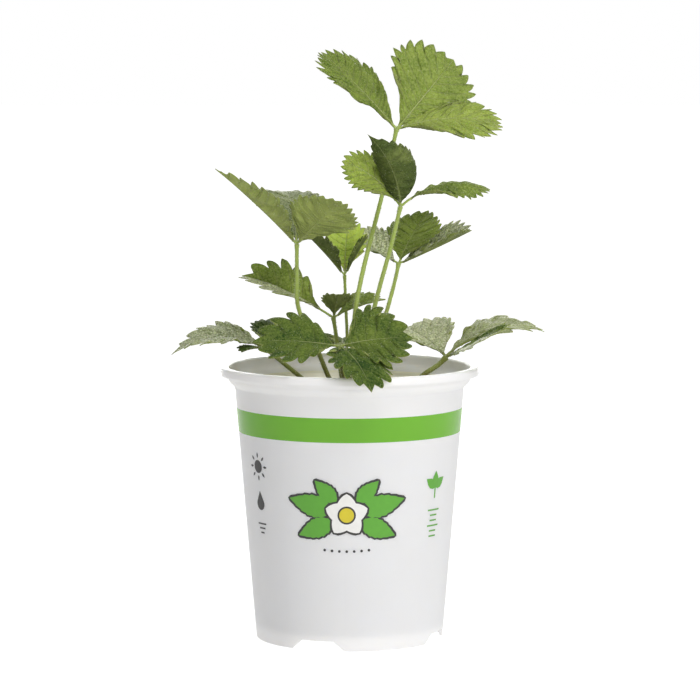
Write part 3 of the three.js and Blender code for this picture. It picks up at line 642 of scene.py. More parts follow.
def leaf_face(name, dark, bright, vein, edge, silver, coat, speck, grain, **values):
    """A leaf side's finish: greens with painted light by tone, veins, colour of the margin, its coat of hairs
    with a painted silvery sheen, and its grain.
    """
    material, tree, shader, place = finish(
        name, IOR=1.45, Subsurface_Radius=(0.75, 1.0, 0.3), Subsurface_Scale=0.0006, **values)
    # The tone attribute is the green together with painted light: higher on lit leaflets, lower on shaded
    # ones, above 1 for light shining through
    tone = add(tree, "ShaderNodeAttribute", attribute_name="tone").outputs["Fac"]
    veins = add(tree, "ShaderNodeSeparateXYZ", [add(tree, "ShaderNodeUVMap", uv_map="veins")])
    spot = add(tree, "ShaderNodeSeparateXYZ", [add(tree, "ShaderNodeUVMap", uv_map="blade")])
    patches = add(tree, "ShaderNodeTexNoise", {"Vector": place, "Scale": 1 / (PATCH * MM), "Detail": 3})
    shift = add(tree, "ShaderNodeMapRange", {
        "Value": patches, "From Min": 0.3, "From Max": 0.7, "To Min": -0.16, "To Max": 0.16})
    tones = add(tree, "ShaderNodeMath", [tone, shift], operation="ADD")
    specks = add(tree, "ShaderNodeTexNoise", {
        "Vector": place, "Scale": 1 / (speck * MM), "Detail": 3, "Roughness": 0.7})
    mottle = add(tree, "ShaderNodeMapRange", {
        "Value": specks, "From Min": 0.35, "From Max": 0.65, "To Min": -grain, "To Max": grain})
    grained = add(tree, "ShaderNodeMath", [tones, mottle], operation="ADD")
    no_less = add(tree, "ShaderNodeMath", [grained, 0], operation="MAXIMUM")
    base = add(tree, "ShaderNodeMix", {
        FACTOR: no_less, COLOUR_A: dark, COLOUR_B: bright}, data_type="RGBA",
        clamp_factor=False)
    net = add(tree, "ShaderNodeTexVoronoi", {"Vector": place, "Scale": 1 / (AREOLE * MM)},
              feature="DISTANCE_TO_EDGE")
    meshwork = add(tree, "ShaderNodeMapRange", {
        "Value": net, "From Min": 0.02, "From Max": 0.16, "To Min": 0.3, "To Max": 0},
        interpolation_type="SMOOTHSTEP")
    lateral = add(tree, "ShaderNodeMapRange", {
        "Value": veins.outputs["X"], "From Min": 0.5, "From Max": 1.6, "To Min": 0.7, "To Max": 0},
        interpolation_type="SMOOTHSTEP")
    midrib = add(tree, "ShaderNodeMapRange", {
        "Value": veins.outputs["Y"], "From Min": 0.6, "From Max": 1.5, "To Min": 1, "To Max": 0},
        interpolation_type="SMOOTHSTEP")
    large = add(tree, "ShaderNodeMath", [lateral, midrib], operation="MAXIMUM")
    every = add(tree, "ShaderNodeMath", [large, meshwork], operation="MAXIMUM")
    share = add(tree, "ShaderNodeMath", [every, vein[1]], operation="MULTIPLY")
    vein_tone = add(tree, "ShaderNodeMath", [tone, VEIN_TONE], operation="MULTIPLY")
    vein_tint = add(tree, "ShaderNodeMix", {
        FACTOR: vein_tone, COLOUR_A: dark, COLOUR_B: vein[0]}, data_type="RGBA")
    veined = add(tree, "ShaderNodeMix", {
        FACTOR: share, COLOUR_A: base, COLOUR_B: vein_tint}, data_type="RGBA")
    rib_share = add(tree, "ShaderNodeMath", [midrib, vein[1]], operation="MULTIPLY")
    ribbed = add(tree, "ShaderNodeMix", {
        FACTOR: rib_share, COLOUR_A: veined, COLOUR_B: vein[0]}, data_type="RGBA")
    rim = add(tree, "ShaderNodeMapRange", {
        "Value": spot.outputs["Y"], "From Min": 0.93, "From Max": 1.0, "To Min": 0, "To Max": edge[1]},
        interpolation_type="SMOOTHSTEP")
    rimmed = add(tree, "ShaderNodeMix", {
        FACTOR: rim, COLOUR_A: ribbed, COLOUR_B: edge[0]}, data_type="RGBA")
    # Pale specks of the hairs mixed towards silver; where the coat is strong this is a painted silvery sheen
    bloom_and_sheen = add(tree, "ShaderNodeMapRange", {
        "Value": specks, "From Min": 0.42, "From Max": 0.68, "To Min": coat[0], "To Max": coat[1]})
    density = add(tree, "ShaderNodeAttribute", attribute_name="coat").outputs["Fac"]
    hairs_and_sheen_share = add(tree, "ShaderNodeMath", [bloom_and_sheen, density], operation="MULTIPLY")
    coated = add(tree, "ShaderNodeMix", {
        FACTOR: hairs_and_sheen_share, COLOUR_A: rimmed, COLOUR_B: silver}, data_type="RGBA")
    cells = add(tree, "ShaderNodeMath", [net, large], operation="SUBTRACT")
    bump = add(tree, "ShaderNodeBump", {"Height": cells, "Strength": 0.9, "Distance": 0.0006})
    fine = add(tree, "ShaderNodeBump", {
        "Height": specks, "Normal": bump, "Strength": 2 * grain, "Distance": 0.0003})
    feed(shader, {"Base Color": coated, "Normal": fine})
    return material


leaf_upper = leaf_face(
    "strawberry leaf, upper side", "#234410", "#9eb04b", ("#ccd58f", 0.5), ("#7d8936", 0.5),
    "#c2cc90", (0.0, 0.2), 0.9, 0.15, Roughness=0.68, Specular_IOR_Level=0.14, Subsurface_Weight=0.35,
    Sheen_Weight=0.02, Sheen_Roughness=0.45, Sheen_Tint="#eef2cf")
# Silver halves: paler greens and a strong pale bloom, a painted silvery sheen over the hairs' own colour
leaf_hoary_sheen = leaf_face(
    "strawberry leaf, upper side with a silvery coat of hairs", "#56672f", "#b8c17f",
    ("#d6dcae", 0.4), ("#a3a466", 0.5), "#f2f4d2", (0.1, 1.0), 0.8, 0.16, Roughness=0.55,
    Subsurface_Weight=0.25, Sheen_Weight=0.4, Sheen_Roughness=0.4, Sheen_Tint="#f3f5d2")
leaf_under = leaf_face(
    "strawberry leaf, lower side", "#46561a", "#bac66e", ("#c4ce84", 0.2), ("#8f9646", 0.4),
    "#c9d1a0", (0.0, 0.05), 0.9, 0.035, Roughness=0.65, Specular_IOR_Level=0.3, Subsurface_Weight=0.3,
    Sheen_Weight=0.06, Sheen_Roughness=0.5, Sheen_Tint="#eef0d4")
print("leaf materials:", leaf_upper.name, "/", leaf_hoary_sheen.name, "/", leaf_under.name)

# %% [markdown]
# ### Stalk material
# A petiole is juicy and pale green, and browner where it leaves the soil. Fine lengthwise ribs and
# the light inside it matter more than its gloss.

# %% Stalk and hair materials
STALK_BROWN_TO, STALK_GREEN_FROM = 96, 140

petiole_skin, tree, shader, place = finish(
    "strawberry leaf stalk", Roughness=0.45, IOR=1.4, Subsurface_Weight=0.3,
    Subsurface_Radius=(0.8, 1.0, 0.35), Subsurface_Scale=0.001, Sheen_Weight=0.15,
    Sheen_Tint="#f0f4e0")
height = add(tree, "ShaderNodeSeparateXYZ", [place]).outputs["Z"]
rise = add(tree, "ShaderNodeMapRange", {
    "Value": height, "From Min": STALK_BROWN_TO * MM, "From Max": STALK_GREEN_FROM * MM})
blush = add(tree, "ShaderNodeTexNoise", {"Vector": place, "Scale": 160, "Detail": 3})
varied = add(tree, "ShaderNodeMapRange", {
    "Value": blush, "From Min": 0.3, "From Max": 0.7, "To Min": -0.15, "To Max": 0.15})
grade = add(tree, "ShaderNodeMath", [rise, varied], operation="ADD", use_clamp=True)
stalk_green = add(tree, "ShaderNodeMix", {
    FACTOR: grade, COLOUR_A: "#6a662c", COLOUR_B: "#a5b85c"}, data_type="RGBA")
stretched = add(tree, "ShaderNodeMapping", {"Vector": place, "Scale": (1, 1, 0.08)})
ribs = add(tree, "ShaderNodeTexNoise", {"Vector": stretched, "Scale": 2600, "Detail": 2})
rib_bump = add(tree, "ShaderNodeBump", {"Height": ribs, "Strength": 0.4, "Distance": 0.0002})
feed(shader, {"Base Color": stalk_green, "Normal": rib_bump})

hair_finish = mottled(
    "plant hairs", "#b9c38c", "#e2e8cc", 300, 1, Roughness=0.5, IOR=1.45, Sheen_Weight=0.2,
    Subsurface_Weight=0.2, Subsurface_Radius=(1, 1, 0.7), Subsurface_Scale=0.0003)
print("stalk and hair finishes made")

# %% [markdown]
# ### The blade of one leaflet
# NumPy works on the whole grid at once. The blade's middle surface comes first, then the two faces
# stand off from it, thinner at the margin and thicker under the veins, and a strip closes the edge.

# %% Leaflet rule
WEDGE = 1.15
TOOTH_PEAK, TOOTH_ROUNDING, TOOTH_DEPTH = 0.62, 0.8, 0.065
TOOTH_LEAN, TOOTH_SIDE_LEAN = 0.55, 0.33
FIRST_TOOTH_SIZE, TOOTH_GROWTH, END_TOOTH_SIZE, END_TOOTH_LENGTH = 0.55, 0.25, 0.75, 0.5
NOTCH_SINK = 0.3
TOOTH_VARIES, QUILT_VARIES, PUCKER = 0.22, 0.45, 0.006
VEIN_REACH, VEIN_POWER, VEIN_BOW, OUTERMOST = 0.96, 1.6, 0.035, 1.3
MIDRIB_REACH, MIDRIB_STEPS = 1.08, 72
BASE_ROWS, RISING_ROWS, FALLING_ROWS, END_ROWS = 5, 5, 3, 4
COLUMNS, COLUMN_POWER = 13, 1.45
BLADE, EDGE_BLADE, MIDRIB_RIDGE, VEIN_RIDGE, MIDRIB_GROOVE = 0.34, 0.2, 0.42, 0.16, 0.12
MIDRIB_HALF, VEIN_HALF = 0.42, 0.2
UPPER_LEFT, UPPER_RIGHT, UNDER = 0, 1, 2
HOARY_SHEEN_HALVES = {
    "none": (), "both": (UPPER_LEFT, UPPER_RIGHT), "left": (UPPER_LEFT,), "right": (UPPER_RIGHT,)}
LEAST_HALF = 0.4
QUILT_POWER = 0.7
PUCKERS, ALONG_WAVES, ACROSS_WAVES, PUCKER_END = 4, (0.15, 0.7), (0.6, 1.8), 1.2
WAVE_TEETH, WAVE_SHIFT = 2.7, 0.37
ROW_LEAN = 0.85
SMALLEST_VEIN, VEIN_GROWTH_LENGTH = 0.6, 90
MIDRIB_NARROWS, MIDRIB_SINKS, VEIN_NARROWS, VEIN_SINKS = 0.8, 0.9, 0.55, 0.7
MIDRIB_START, VEIN_START = 1.05, 1.15
MIDRIB_SOFT, VEIN_SOFT = 1.2, 1.4
TEETH_A_TILE = 10


def unit(vectors):
    """The vectors at length 1."""
    return vectors / np.maximum(np.linalg.norm(vectors, axis=-1, keepdims=True), 1e-9)


def start_axes(entry):
    """Start direction of the midrib, and the direction across it."""
    heading, rise, roll = (math.radians(entry[k]) for k in ("heading", "rise", "roll"))
    east, north = math.cos(heading), math.sin(heading)
    along = np.array([math.cos(rise) * east, math.cos(rise) * north, math.sin(rise)])
    level = np.array([-north, east, 0])
    across = level * math.cos(roll) + np.cross(along, level) * math.sin(roll)
    return along, across


def midrib_frames(entry, base):
    """Points, across and up directions along the midrib."""
    along, across = start_axes(entry)
    step = entry["length"] * MIDRIB_REACH / MIDRIB_STEPS
    arch, bend = (math.radians(entry[k]) / MIDRIB_STEPS for k in ("arch", "bend"))
    point, rows = np.array(base, float), []
    for _ in range(MIDRIB_STEPS + 1):
        up = np.cross(along, across)
        rows.append((point, across, up))
        point = point + along * step
        turned_across = across - along * bend
        along = unit(along + up * arch + across * bend)
        across = unit(turned_across - along * (turned_across @ along))
    return [np.array(part) for part in zip(*rows)]


def along_midrib(frames, entry, distance):
    """Point, across and up at distances along the midrib."""
    place = np.clip(distance / (entry["length"] * MIDRIB_REACH), 0, 1) * MIDRIB_STEPS
    index = np.minimum(place.astype(int), MIDRIB_STEPS - 1)
    rest = (place - index)[..., None]
    return [part[index] * (1 - rest) + part[index + 1] * rest for part in frames]


def bare_veins(entry):
    """How many side veins end in the toothless part of the margin."""
    return round(entry["bare"] * (entry["teeth"] + END_TOOTH_LENGTH) / (1 - entry["bare"]))


def margin_positions(entry):
    """0 at the first notch, one unit for each vein and its tooth, below 0 where there are no teeth."""
    teeth = entry["teeth"]
    rising = np.linspace(0, TOOTH_PEAK, RISING_ROWS, endpoint=False)
    falling = np.linspace(TOOTH_PEAK, 1, FALLING_ROWS, endpoint=False)
    tooth = np.concatenate([rising, falling])
    parts = [k + np.linspace(0, 1, BASE_ROWS, endpoint=False) for k in range(-bare_veins(entry), 0)]
    parts += [k + tooth for k in range(teeth)]
    parts.append(teeth + np.linspace(0, END_TOOTH_LENGTH, END_ROWS + 1))
    return np.concatenate(parts)[:, None]


def tooth_depth(position, entry, size):
    """How far a tooth stands out, in shares of the leaflet's length."""
    teeth = entry["teeth"]
    growth = np.clip(FIRST_TOOTH_SIZE + TOOTH_GROWTH * position, 0, 1)
    inside = position - np.floor(position)
    rising = (inside / TOOTH_PEAK) ** TOOTH_ROUNDING
    profile = np.where(inside <= TOOTH_PEAK, rising, (1 - inside) / (1 - TOOTH_PEAK))
    profile = 1 - (1 - np.clip(profile, 0, 1)) ** entry["blunt"]
    last = END_TOOTH_SIZE * (position - teeth) / END_TOOTH_LENGTH
    between = profile * size - NOTCH_SINK * (1 - profile)
    depth = TOOTH_DEPTH * entry["tooth"] * growth * np.where(position >= teeth, last, between)
    return np.where(position < 0, 0, depth)


def blade(entry, junction, phase):
    """One leaflet: points, faces, which face is which side, and values for each point."""
    length, taper, teeth = entry["length"], entry["taper"], entry["teeth"]
    chance = np.random.default_rng(int(1000 * phase))
    along, _ = start_axes(entry)
    frames = midrib_frames(entry, junction + along * entry["stalk"])
    position = margin_positions(entry)
    j = np.arange(-COLUMNS, COLUMNS + 1)[None, :]
    side = np.where(j < 0, -1, 1)
    column = (np.abs(j) / COLUMNS) ** COLUMN_POWER
    half = entry["width"] / 2 * (1 + side * entry["skew"])

    bare = entry["bare"]
    share = np.where(position < 0, bare * (1 + position / bare_veins(entry)),
                     bare + (1 - bare) * position / (teeth + END_TOOTH_LENGTH))
    turn = np.pi * share ** WEDGE
    slope_u = length * taper * np.maximum(1 - share, 1e-4) ** (taper - 1)
    slope_v = half * np.pi * WEDGE * share ** (WEDGE - 1) * np.cos(turn)
    slope = np.hypot(slope_u, slope_v)
    tangent_u, tangent_v = slope_u / slope, slope_v / slope
    tooth = np.clip(np.floor(position).astype(int), 0, teeth)
    half_index = (side > 0).astype(int)
    tooth_size = 1 + TOOTH_VARIES * (2 * chance.random((teeth + 1, 2)) - 1)
    depth = length * tooth_depth(position, entry, tooth_size[tooth, half_index])
    end = position >= teeth
    margin_u = length * (1 - (1 - share) ** taper) + depth * np.where(
        end, 1, TOOTH_LEAN * tangent_u - tangent_v)
    margin_v = half * np.sin(turn) + depth * np.where(end, 0, tangent_u + TOOTH_SIDE_LEAN * tangent_v)
    margin_v = np.maximum(margin_v, LEAST_HALF)
    margin_v[-1] = 0
    vein_u = VEIN_REACH * length * share ** VEIN_POWER

    bulge = 4 * column * (1 - column) * np.sin(np.pi * share)
    u = vein_u + column * (margin_u - vein_u) - VEIN_BOW * length * bulge
    outward = np.clip(column * margin_v / half, 0, OUTERMOST)
    fold, curl = math.radians(entry["fold"]), math.radians(entry["curl"])
    out = half / curl * (np.sin(fold + curl * outward) - math.sin(fold))
    lift = -half / curl * (np.cos(fold + curl * outward) - math.cos(fold))
    fade = np.clip((1 - share) * 4, 0, 1)
    swell = np.sin(np.pi * (position - TOOTH_PEAK)) ** 2 * (4 * column * (1 - column)) ** QUILT_POWER
    interval = np.floor(position - TOOTH_PEAK).astype(int) + bare_veins(entry) + 1
    swell_size = 1 + QUILT_VARIES * (2 * chance.random((interval.max() + 1, 2)) - 1)
    lift = lift + entry["quilt"] * length * swell * fade * swell_size[interval, half_index]
    for _ in range(PUCKERS):
        along_waves, across_waves = chance.uniform(*ALONG_WAVES), chance.uniform(*ACROSS_WAVES)
        waves = along_waves * position + across_waves * side * column + chance.random()
        within = np.clip(PUCKER_END - outward, 0, 1)
        lift = lift + PUCKER * length * np.sin(2 * np.pi * waves) * fade * 4 * outward * within
    margin_wave = np.sin(2 * np.pi * (position / WAVE_TEETH + phase + WAVE_SHIFT * side))
    lift = lift + entry["wave"] * length * outward ** 2 * margin_wave * fade
    point, across, up = along_midrib(frames, entry, u)
    middle = point + across * (side * out)[..., None] + up * lift[..., None]

    by_row, by_column = np.gradient(middle, axis=0), np.gradient(middle, axis=1)
    normal = unit(np.cross(by_row, by_column))
    normal[-1] = normal[-2, COLUMNS]
    spacing = np.linalg.norm(by_row, axis=2) / np.gradient(position[:, 0])[:, None]
    from_vein = np.abs((position - TOOTH_PEAK + 0.5) % 1 - 0.5) * spacing * ROW_LEAN
    from_midrib = column * margin_v
    vein_size = SMALLEST_VEIN + length / VEIN_GROWTH_LENGTH
    midrib_half = MIDRIB_HALF * (MIDRIB_START - MIDRIB_NARROWS * share) * vein_size
    vein_half = VEIN_HALF * (VEIN_START - VEIN_NARROWS * column) * vein_size
    midrib_ridge = np.exp(-(from_midrib / (MIDRIB_SOFT * midrib_half)) ** 2)
    midrib_ridge = MIDRIB_RIDGE * (MIDRIB_START - MIDRIB_SINKS * share) * midrib_ridge
    vein_ridge = np.exp(-(from_vein / (VEIN_SOFT * vein_half)) ** 2)
    vein_ridge = VEIN_RIDGE * (1 - VEIN_SINKS * column) * vein_ridge
    ridge = np.maximum(midrib_ridge, vein_ridge)
    thick = BLADE + (EDGE_BLADE - BLADE) * column ** 3
    groove = MIDRIB_GROOVE * np.exp(-(from_midrib / midrib_half) ** 2) * fade
    upper = middle + normal * (thick / 2 - groove)[..., None]
    under = middle - normal * (thick / 2 + ridge * fade)[..., None]

    rows, wide = upper.shape[:2]
    number = np.arange(rows * wide).reshape(rows, wide)
    number[-1, :COLUMNS] = number[-1, :COLUMNS:-1]
    below = number + rows * wide
    top = quads(number[:-1, :-1], number[1:, :-1], number[1:, 1:], number[:-1, 1:])
    bottom = quads(below[:-1, :-1], below[:-1, 1:], below[1:, 1:], below[1:, :-1])
    left = quads(number[:-1, -1], number[1:, -1], below[1:, -1], below[:-1, -1])
    right = quads(number[1:, 0], number[:-1, 0], below[:-1, 0], below[1:, 0])
    foot = quads(number[0, :-1], number[0, 1:], below[0, 1:], below[0, :-1])
    faces = np.concatenate([top, bottom, left, right, foot])
    upper_half = np.tile(np.where(np.arange(wide - 1) < COLUMNS, UPPER_RIGHT, UPPER_LEFT), rows - 1)
    which = np.concatenate([upper_half, np.full(len(faces) - len(top), UNDER)])

    grid = np.ones((rows, wide))
    per_point = {
        "veins_u": from_vein / vein_half, "veins_v": from_midrib / midrib_half,
        "blade_u": grid * position / TEETH_A_TILE, "blade_v": grid * column,
        "margin": grid * column ** 4,
    }
    values = {name: np.concatenate([on_grid.ravel()] * 2) for name, on_grid in per_point.items()}
    # Tone and under: the greens of the upper and lower faces, with painted light and shade in them
    values["tone"] = np.repeat([entry["tone"], entry["under"]], rows * wide)
    values["coat"] = np.full(2 * rows * wide, entry["coat"])
    points = np.concatenate([upper.reshape(-1, 3), under.reshape(-1, 3)])
    used, faces = np.unique(faces, return_inverse=True)
    values = {name: value[used] for name, value in values.items()}
    return points[used], faces.reshape(-1, 4), which, values


print("rows in a plain blade:", len(margin_positions(PLAIN_LEAFLET)), "columns:", 2 * COLUMNS + 1)

# %% [markdown]
# ### Stalks by Geometry Nodes
# A stalk follows a path and changes its thickness along it, which is one short node tree: lines of
# points carry their radius, the tree turns them to curves, sweeps a ring with a groove on its upper
# side along them and sets the finish. All stalks of a leaf go through the tree together.

# %% Node tree for stalks
STALK_SIDES = 14


def new_tree(name, inputs):
    """A geometry tree with named inputs, and what its first node gives."""
    tree = bpy.data.node_groups.new(name, "GeometryNodeTree")
    tree.interface.new_socket("Geometry", in_out="INPUT", socket_type="NodeSocketGeometry")
    tree.interface.new_socket("Geometry", in_out="OUTPUT", socket_type="NodeSocketGeometry")
    for label, kind in inputs.items():
        tree.interface.new_socket(label, in_out="INPUT", socket_type="NodeSocket" + kind)
    return tree, add(tree, "NodeGroupInput").outputs


def grown(obj, tree, name, **values):
    """What a tree makes from an object, as a plain mesh object of its own."""
    modifier = obj.modifiers.new(tree.name, "NODES")
    modifier.node_group = tree
    for item in tree.interface.items_tree:
        if item.item_type == "SOCKET" and item.in_out == "INPUT" and item.name in values:
            modifier[item.identifier] = values[item.name]
    evaluated = obj.evaluated_get(bpy.context.evaluated_depsgraph_get())
    mesh = bpy.data.meshes.new_from_object(evaluated)
    mesh.name = name
    obj.modifiers.remove(modifier)
    return new_object(name, mesh)


def end_tree(tree, shape, material):
    """Makes a tree give a shape, all of it real, in its finish."""
    real = add(tree, "GeometryNodeRealizeInstances", [shape])
    dressed = add(tree, "GeometryNodeSetMaterial", {0: real, "Material": material})
    add(tree, "NodeGroupOutput", [dressed])


stalk_tree, given = new_tree("stalks along lines", {
    "Sides": "Int", "Groove": "Float", "Finish": "Material"})
to_curve = add(stalk_tree, "GeometryNodeMeshToCurve", [given["Geometry"]])
ring = add(stalk_tree, "GeometryNodeCurvePrimitiveCircle", {"Resolution": given["Sides"], "Radius": 1})
ring_parts = add(stalk_tree, "ShaderNodeSeparateXYZ", [add(stalk_tree, "GeometryNodeInputPosition")])
groove_here = add(stalk_tree, "ShaderNodeMapRange", {
    "Value": ring_parts.outputs["Y"], "From Min": 0.6, "From Max": 1, "To Min": 0, "To Max": 1})
groove_depth = add(stalk_tree, "ShaderNodeMath", [groove_here, given["Groove"]], operation="MULTIPLY")
groove_down = add(stalk_tree, "ShaderNodeMath", [groove_depth, -1], operation="MULTIPLY")
groove_offset = add(stalk_tree, "ShaderNodeCombineXYZ", {"Y": groove_down})
grooved = add(stalk_tree, "GeometryNodeSetPosition", {"Geometry": ring, "Offset": groove_offset})
radius_here = add(stalk_tree, "GeometryNodeInputNamedAttribute", {"Name": "stem_radius"}, data_type="FLOAT")
swept = add(stalk_tree, "GeometryNodeCurveToMesh", {
    "Curve": to_curve, "Profile Curve": grooved, "Scale": radius_here, "Fill Caps": True})
smooth = add(stalk_tree, "GeometryNodeSetShadeSmooth", [swept])
end_tree(stalk_tree, smooth, given["Finish"])
print("stalk tree nodes:", len(stalk_tree.nodes))

# %% Lines that the stalks follow
CROWN_TOP, SOCKET_FLOOR, STRAIGHT_FOOT = 94, 90.8, 3
STEPS_A_SPAN = 14
TOP_SWELL, TOP_SWELL_LENGTH = 0.35, 1.6
FOOT_FLARE, FOOT_FLARE_LENGTH = 0.25, 7
BLADE_REACH = np.array([0.0, 0.03, 0.07, 0.12, 0.18, 0.25])
BLADE_SINK = np.array([0.0, 0.1, 0.14, 0.16, 0.17, 0.17])
LEAFLET_STALK_RADII = np.array([1.1, 1.0, 0.95, 0.8, 0.65, 0.52, 0.4, 0.22])
LEAFLET_STALK_SUNK, THINNEST_STALK, STALK_GROWTH_LENGTH = 0.3, 0.35, 95


def blend(t, start, end, first, last):
    """A point on the way from the first at t = start to the last at t = end."""
    return (end - t) / (end - start) * first + (t - start) / (end - start) * last


def smooth_line(points):
    """Centripetal Catmull-Rom curve through the points, as a list of close points."""
    points = [np.array(p, float) for p in points]
    padded = [2 * points[0] - points[1], *points, 2 * points[-1] - points[-2]]
    line = []
    for p0, p1, p2, p3 in zip(padded, padded[1:], padded[2:], padded[3:]):
        t0 = 0
        t1 = t0 + np.linalg.norm(p1 - p0) ** 0.5
        t2 = t1 + np.linalg.norm(p2 - p1) ** 0.5
        t3 = t2 + np.linalg.norm(p3 - p2) ** 0.5
        for t in np.linspace(t1, t2, STEPS_A_SPAN, endpoint=False):
            a1, a2, a3 = blend(t, t0, t1, p0, p1), blend(t, t1, t2, p1, p2), blend(t, t2, t3, p2, p3)
            b1, b2 = blend(t, t0, t2, a1, a2), blend(t, t1, t3, a2, a3)
            line.append(blend(t, t1, t2, b1, b2))
    return np.array([*line, points[-1]])


def petiole_line(leaf):
    """The petiole's line from its socket to the leaflets, and its radius at each point."""
    foot = [(*leaf["socket"], z) for z in (SOCKET_FLOOR, CROWN_TOP, CROWN_TOP + STRAIGHT_FOOT)]
    line = smooth_line(foot + leaf["path"])
    lengths = np.concatenate([[0], np.cumsum(np.linalg.norm(np.diff(line, axis=0), axis=1))])
    share = lengths / lengths[-1]
    start, end = leaf["radius"]
    swell = TOP_SWELL * np.exp(-((1 - share) * lengths[-1] / TOP_SWELL_LENGTH) ** 2)
    flare = FOOT_FLARE * np.exp(-(share * lengths[-1] / FOOT_FLARE_LENGTH) ** 2)
    return line, start + (end - start) * share + (swell + flare) * end


def leaflet_stalk_line(entry, junction, petiole_end_radius):
    """From inside the petiole's end to the blade, then under its midrib."""
    along, _ = start_axes(entry)
    frames = midrib_frames(entry, junction + along * entry["stalk"])
    point, _, up = along_midrib(frames, entry, BLADE_REACH * entry["length"])
    under = point - up * BLADE_SINK[:, None]
    start = [junction - along * LEAFLET_STALK_SUNK, junction + along * entry["stalk"] * 0.5]
    wide = petiole_end_radius * (THINNEST_STALK + entry["length"] / STALK_GROWTH_LENGTH)
    return np.concatenate([start, under]), LEAFLET_STALK_RADII * wide


# %% [markdown]
# ### Hairs by Geometry Nodes
# Petioles and leaf margins are downy. A real hair is 0.02 mm thick and doesn't show at this size,
# so each is drawn as a three-sided spike a few times thicker. The tree scatters points on the
# surface, denser where the mesh says so, stands a spike on each, leans it at random, and realizes.

# %% Node tree for hairs
FULL_TURN = 6.28

hair_tree, given = new_tree("downy hairs", {
    "Density": "Float", "Thickness": "Float", "Lean": "Float", "Seed": "Int", "Finish": "Material"})
where = add(hair_tree, "GeometryNodeInputNamedAttribute", {"Name": "hair_density"}, data_type="FLOAT")
long = add(hair_tree, "GeometryNodeInputNamedAttribute", {"Name": "hair_length"}, data_type="FLOAT")
local_density = add(hair_tree, "ShaderNodeMath", [where, given["Density"]], operation="MULTIPLY")
scatter = add(hair_tree, "GeometryNodeDistributePointsOnFaces", {
    "Mesh": given["Geometry"], "Density": local_density, "Seed": given["Seed"]},
    distribute_method="RANDOM")
half_thick = add(hair_tree, "ShaderNodeMath", [given["Thickness"], 0.5], operation="MULTIPLY")
spike = add(hair_tree, "GeometryNodeMeshCone", {
    "Vertices": 3, "Side Segments": 1, "Radius Top": 0, "Radius Bottom": half_thick, "Depth": 1})
lean_low = add(hair_tree, "ShaderNodeMath", [given["Lean"], -1], operation="MULTIPLY")
lean_from = add(hair_tree, "ShaderNodeCombineXYZ", [lean_low, lean_low])
lean_to = add(hair_tree, "ShaderNodeCombineXYZ", [given["Lean"], given["Lean"], FULL_TURN])
lean = add(hair_tree, "FunctionNodeRandomValue", {
    0: lean_from, 1: lean_to, "Seed": given["Seed"]}, data_type="FLOAT_VECTOR")
leaning = add(hair_tree, "FunctionNodeEulerToRotation", [lean])
standing = add(hair_tree, "FunctionNodeRotateRotation", {
    "Rotation": scatter.outputs["Rotation"], "Rotate By": leaning}, rotation_space="LOCAL")
length_share = add(hair_tree, "FunctionNodeRandomValue", {2: 0.5, 3: 1.15, "Seed": 3}, data_type="FLOAT")
hair_length = add(hair_tree, "ShaderNodeMath", [long, length_share], operation="MULTIPLY")
spike_size = add(hair_tree, "ShaderNodeCombineXYZ", [1, 1, hair_length])
stood = add(hair_tree, "GeometryNodeInstanceOnPoints", {
    "Points": scatter, "Instance": spike, "Rotation": standing, "Scale": spike_size})
end_tree(hair_tree, stood, given["Finish"])
print("hair tree nodes:", len(hair_tree.nodes))

# %% [markdown]
# ### Growing the ten leaves
# Blades and stalks of a leaf are joined in one mesh that stands for the leaf's CAD node. The hairs
# are a piece of their own on the same body.

# %% Build every leaf
HAIRS_A_MM2 = 1.0e6
HAIR_THICKNESS = 0.11 * MM
STALK_HAIRS, STALK_HAIR_LENGTH = 2.0, 1.15
BLADE_HAIRS, MARGIN_HAIRS, BLADE_HAIR_LENGTH = 0.18, 1.1, 0.75
HAIR_LEAN = 0.6
STALK_GROOVE = 0.28
LEAF_PHASE, LEAFLET_PHASE = 0.31, 0.17


def set_values(mesh, name, values):
    """Stores a number for each point of a mesh."""
    mesh.attributes.new(name, "FLOAT", "POINT").data.foreach_set("value", np.asarray(values, np.float32))


def set_uv(mesh, name, u, v):
    """Stores a UV map that is given for each point of a mesh."""
    corner_point = np.empty(len(mesh.loops), int)
    mesh.loops.foreach_get("vertex_index", corner_point)
    layer = mesh.uv_layers.new(name=name)
    layer.data.foreach_set("uv", np.stack([u, v], -1)[corner_point].astype(np.float32).ravel())


def join(target, others):
    """Joins mesh objects into the first."""
    with bpy.context.temp_override(active_object=target, selected_editable_objects=[target, *others]):
        bpy.ops.object.join()


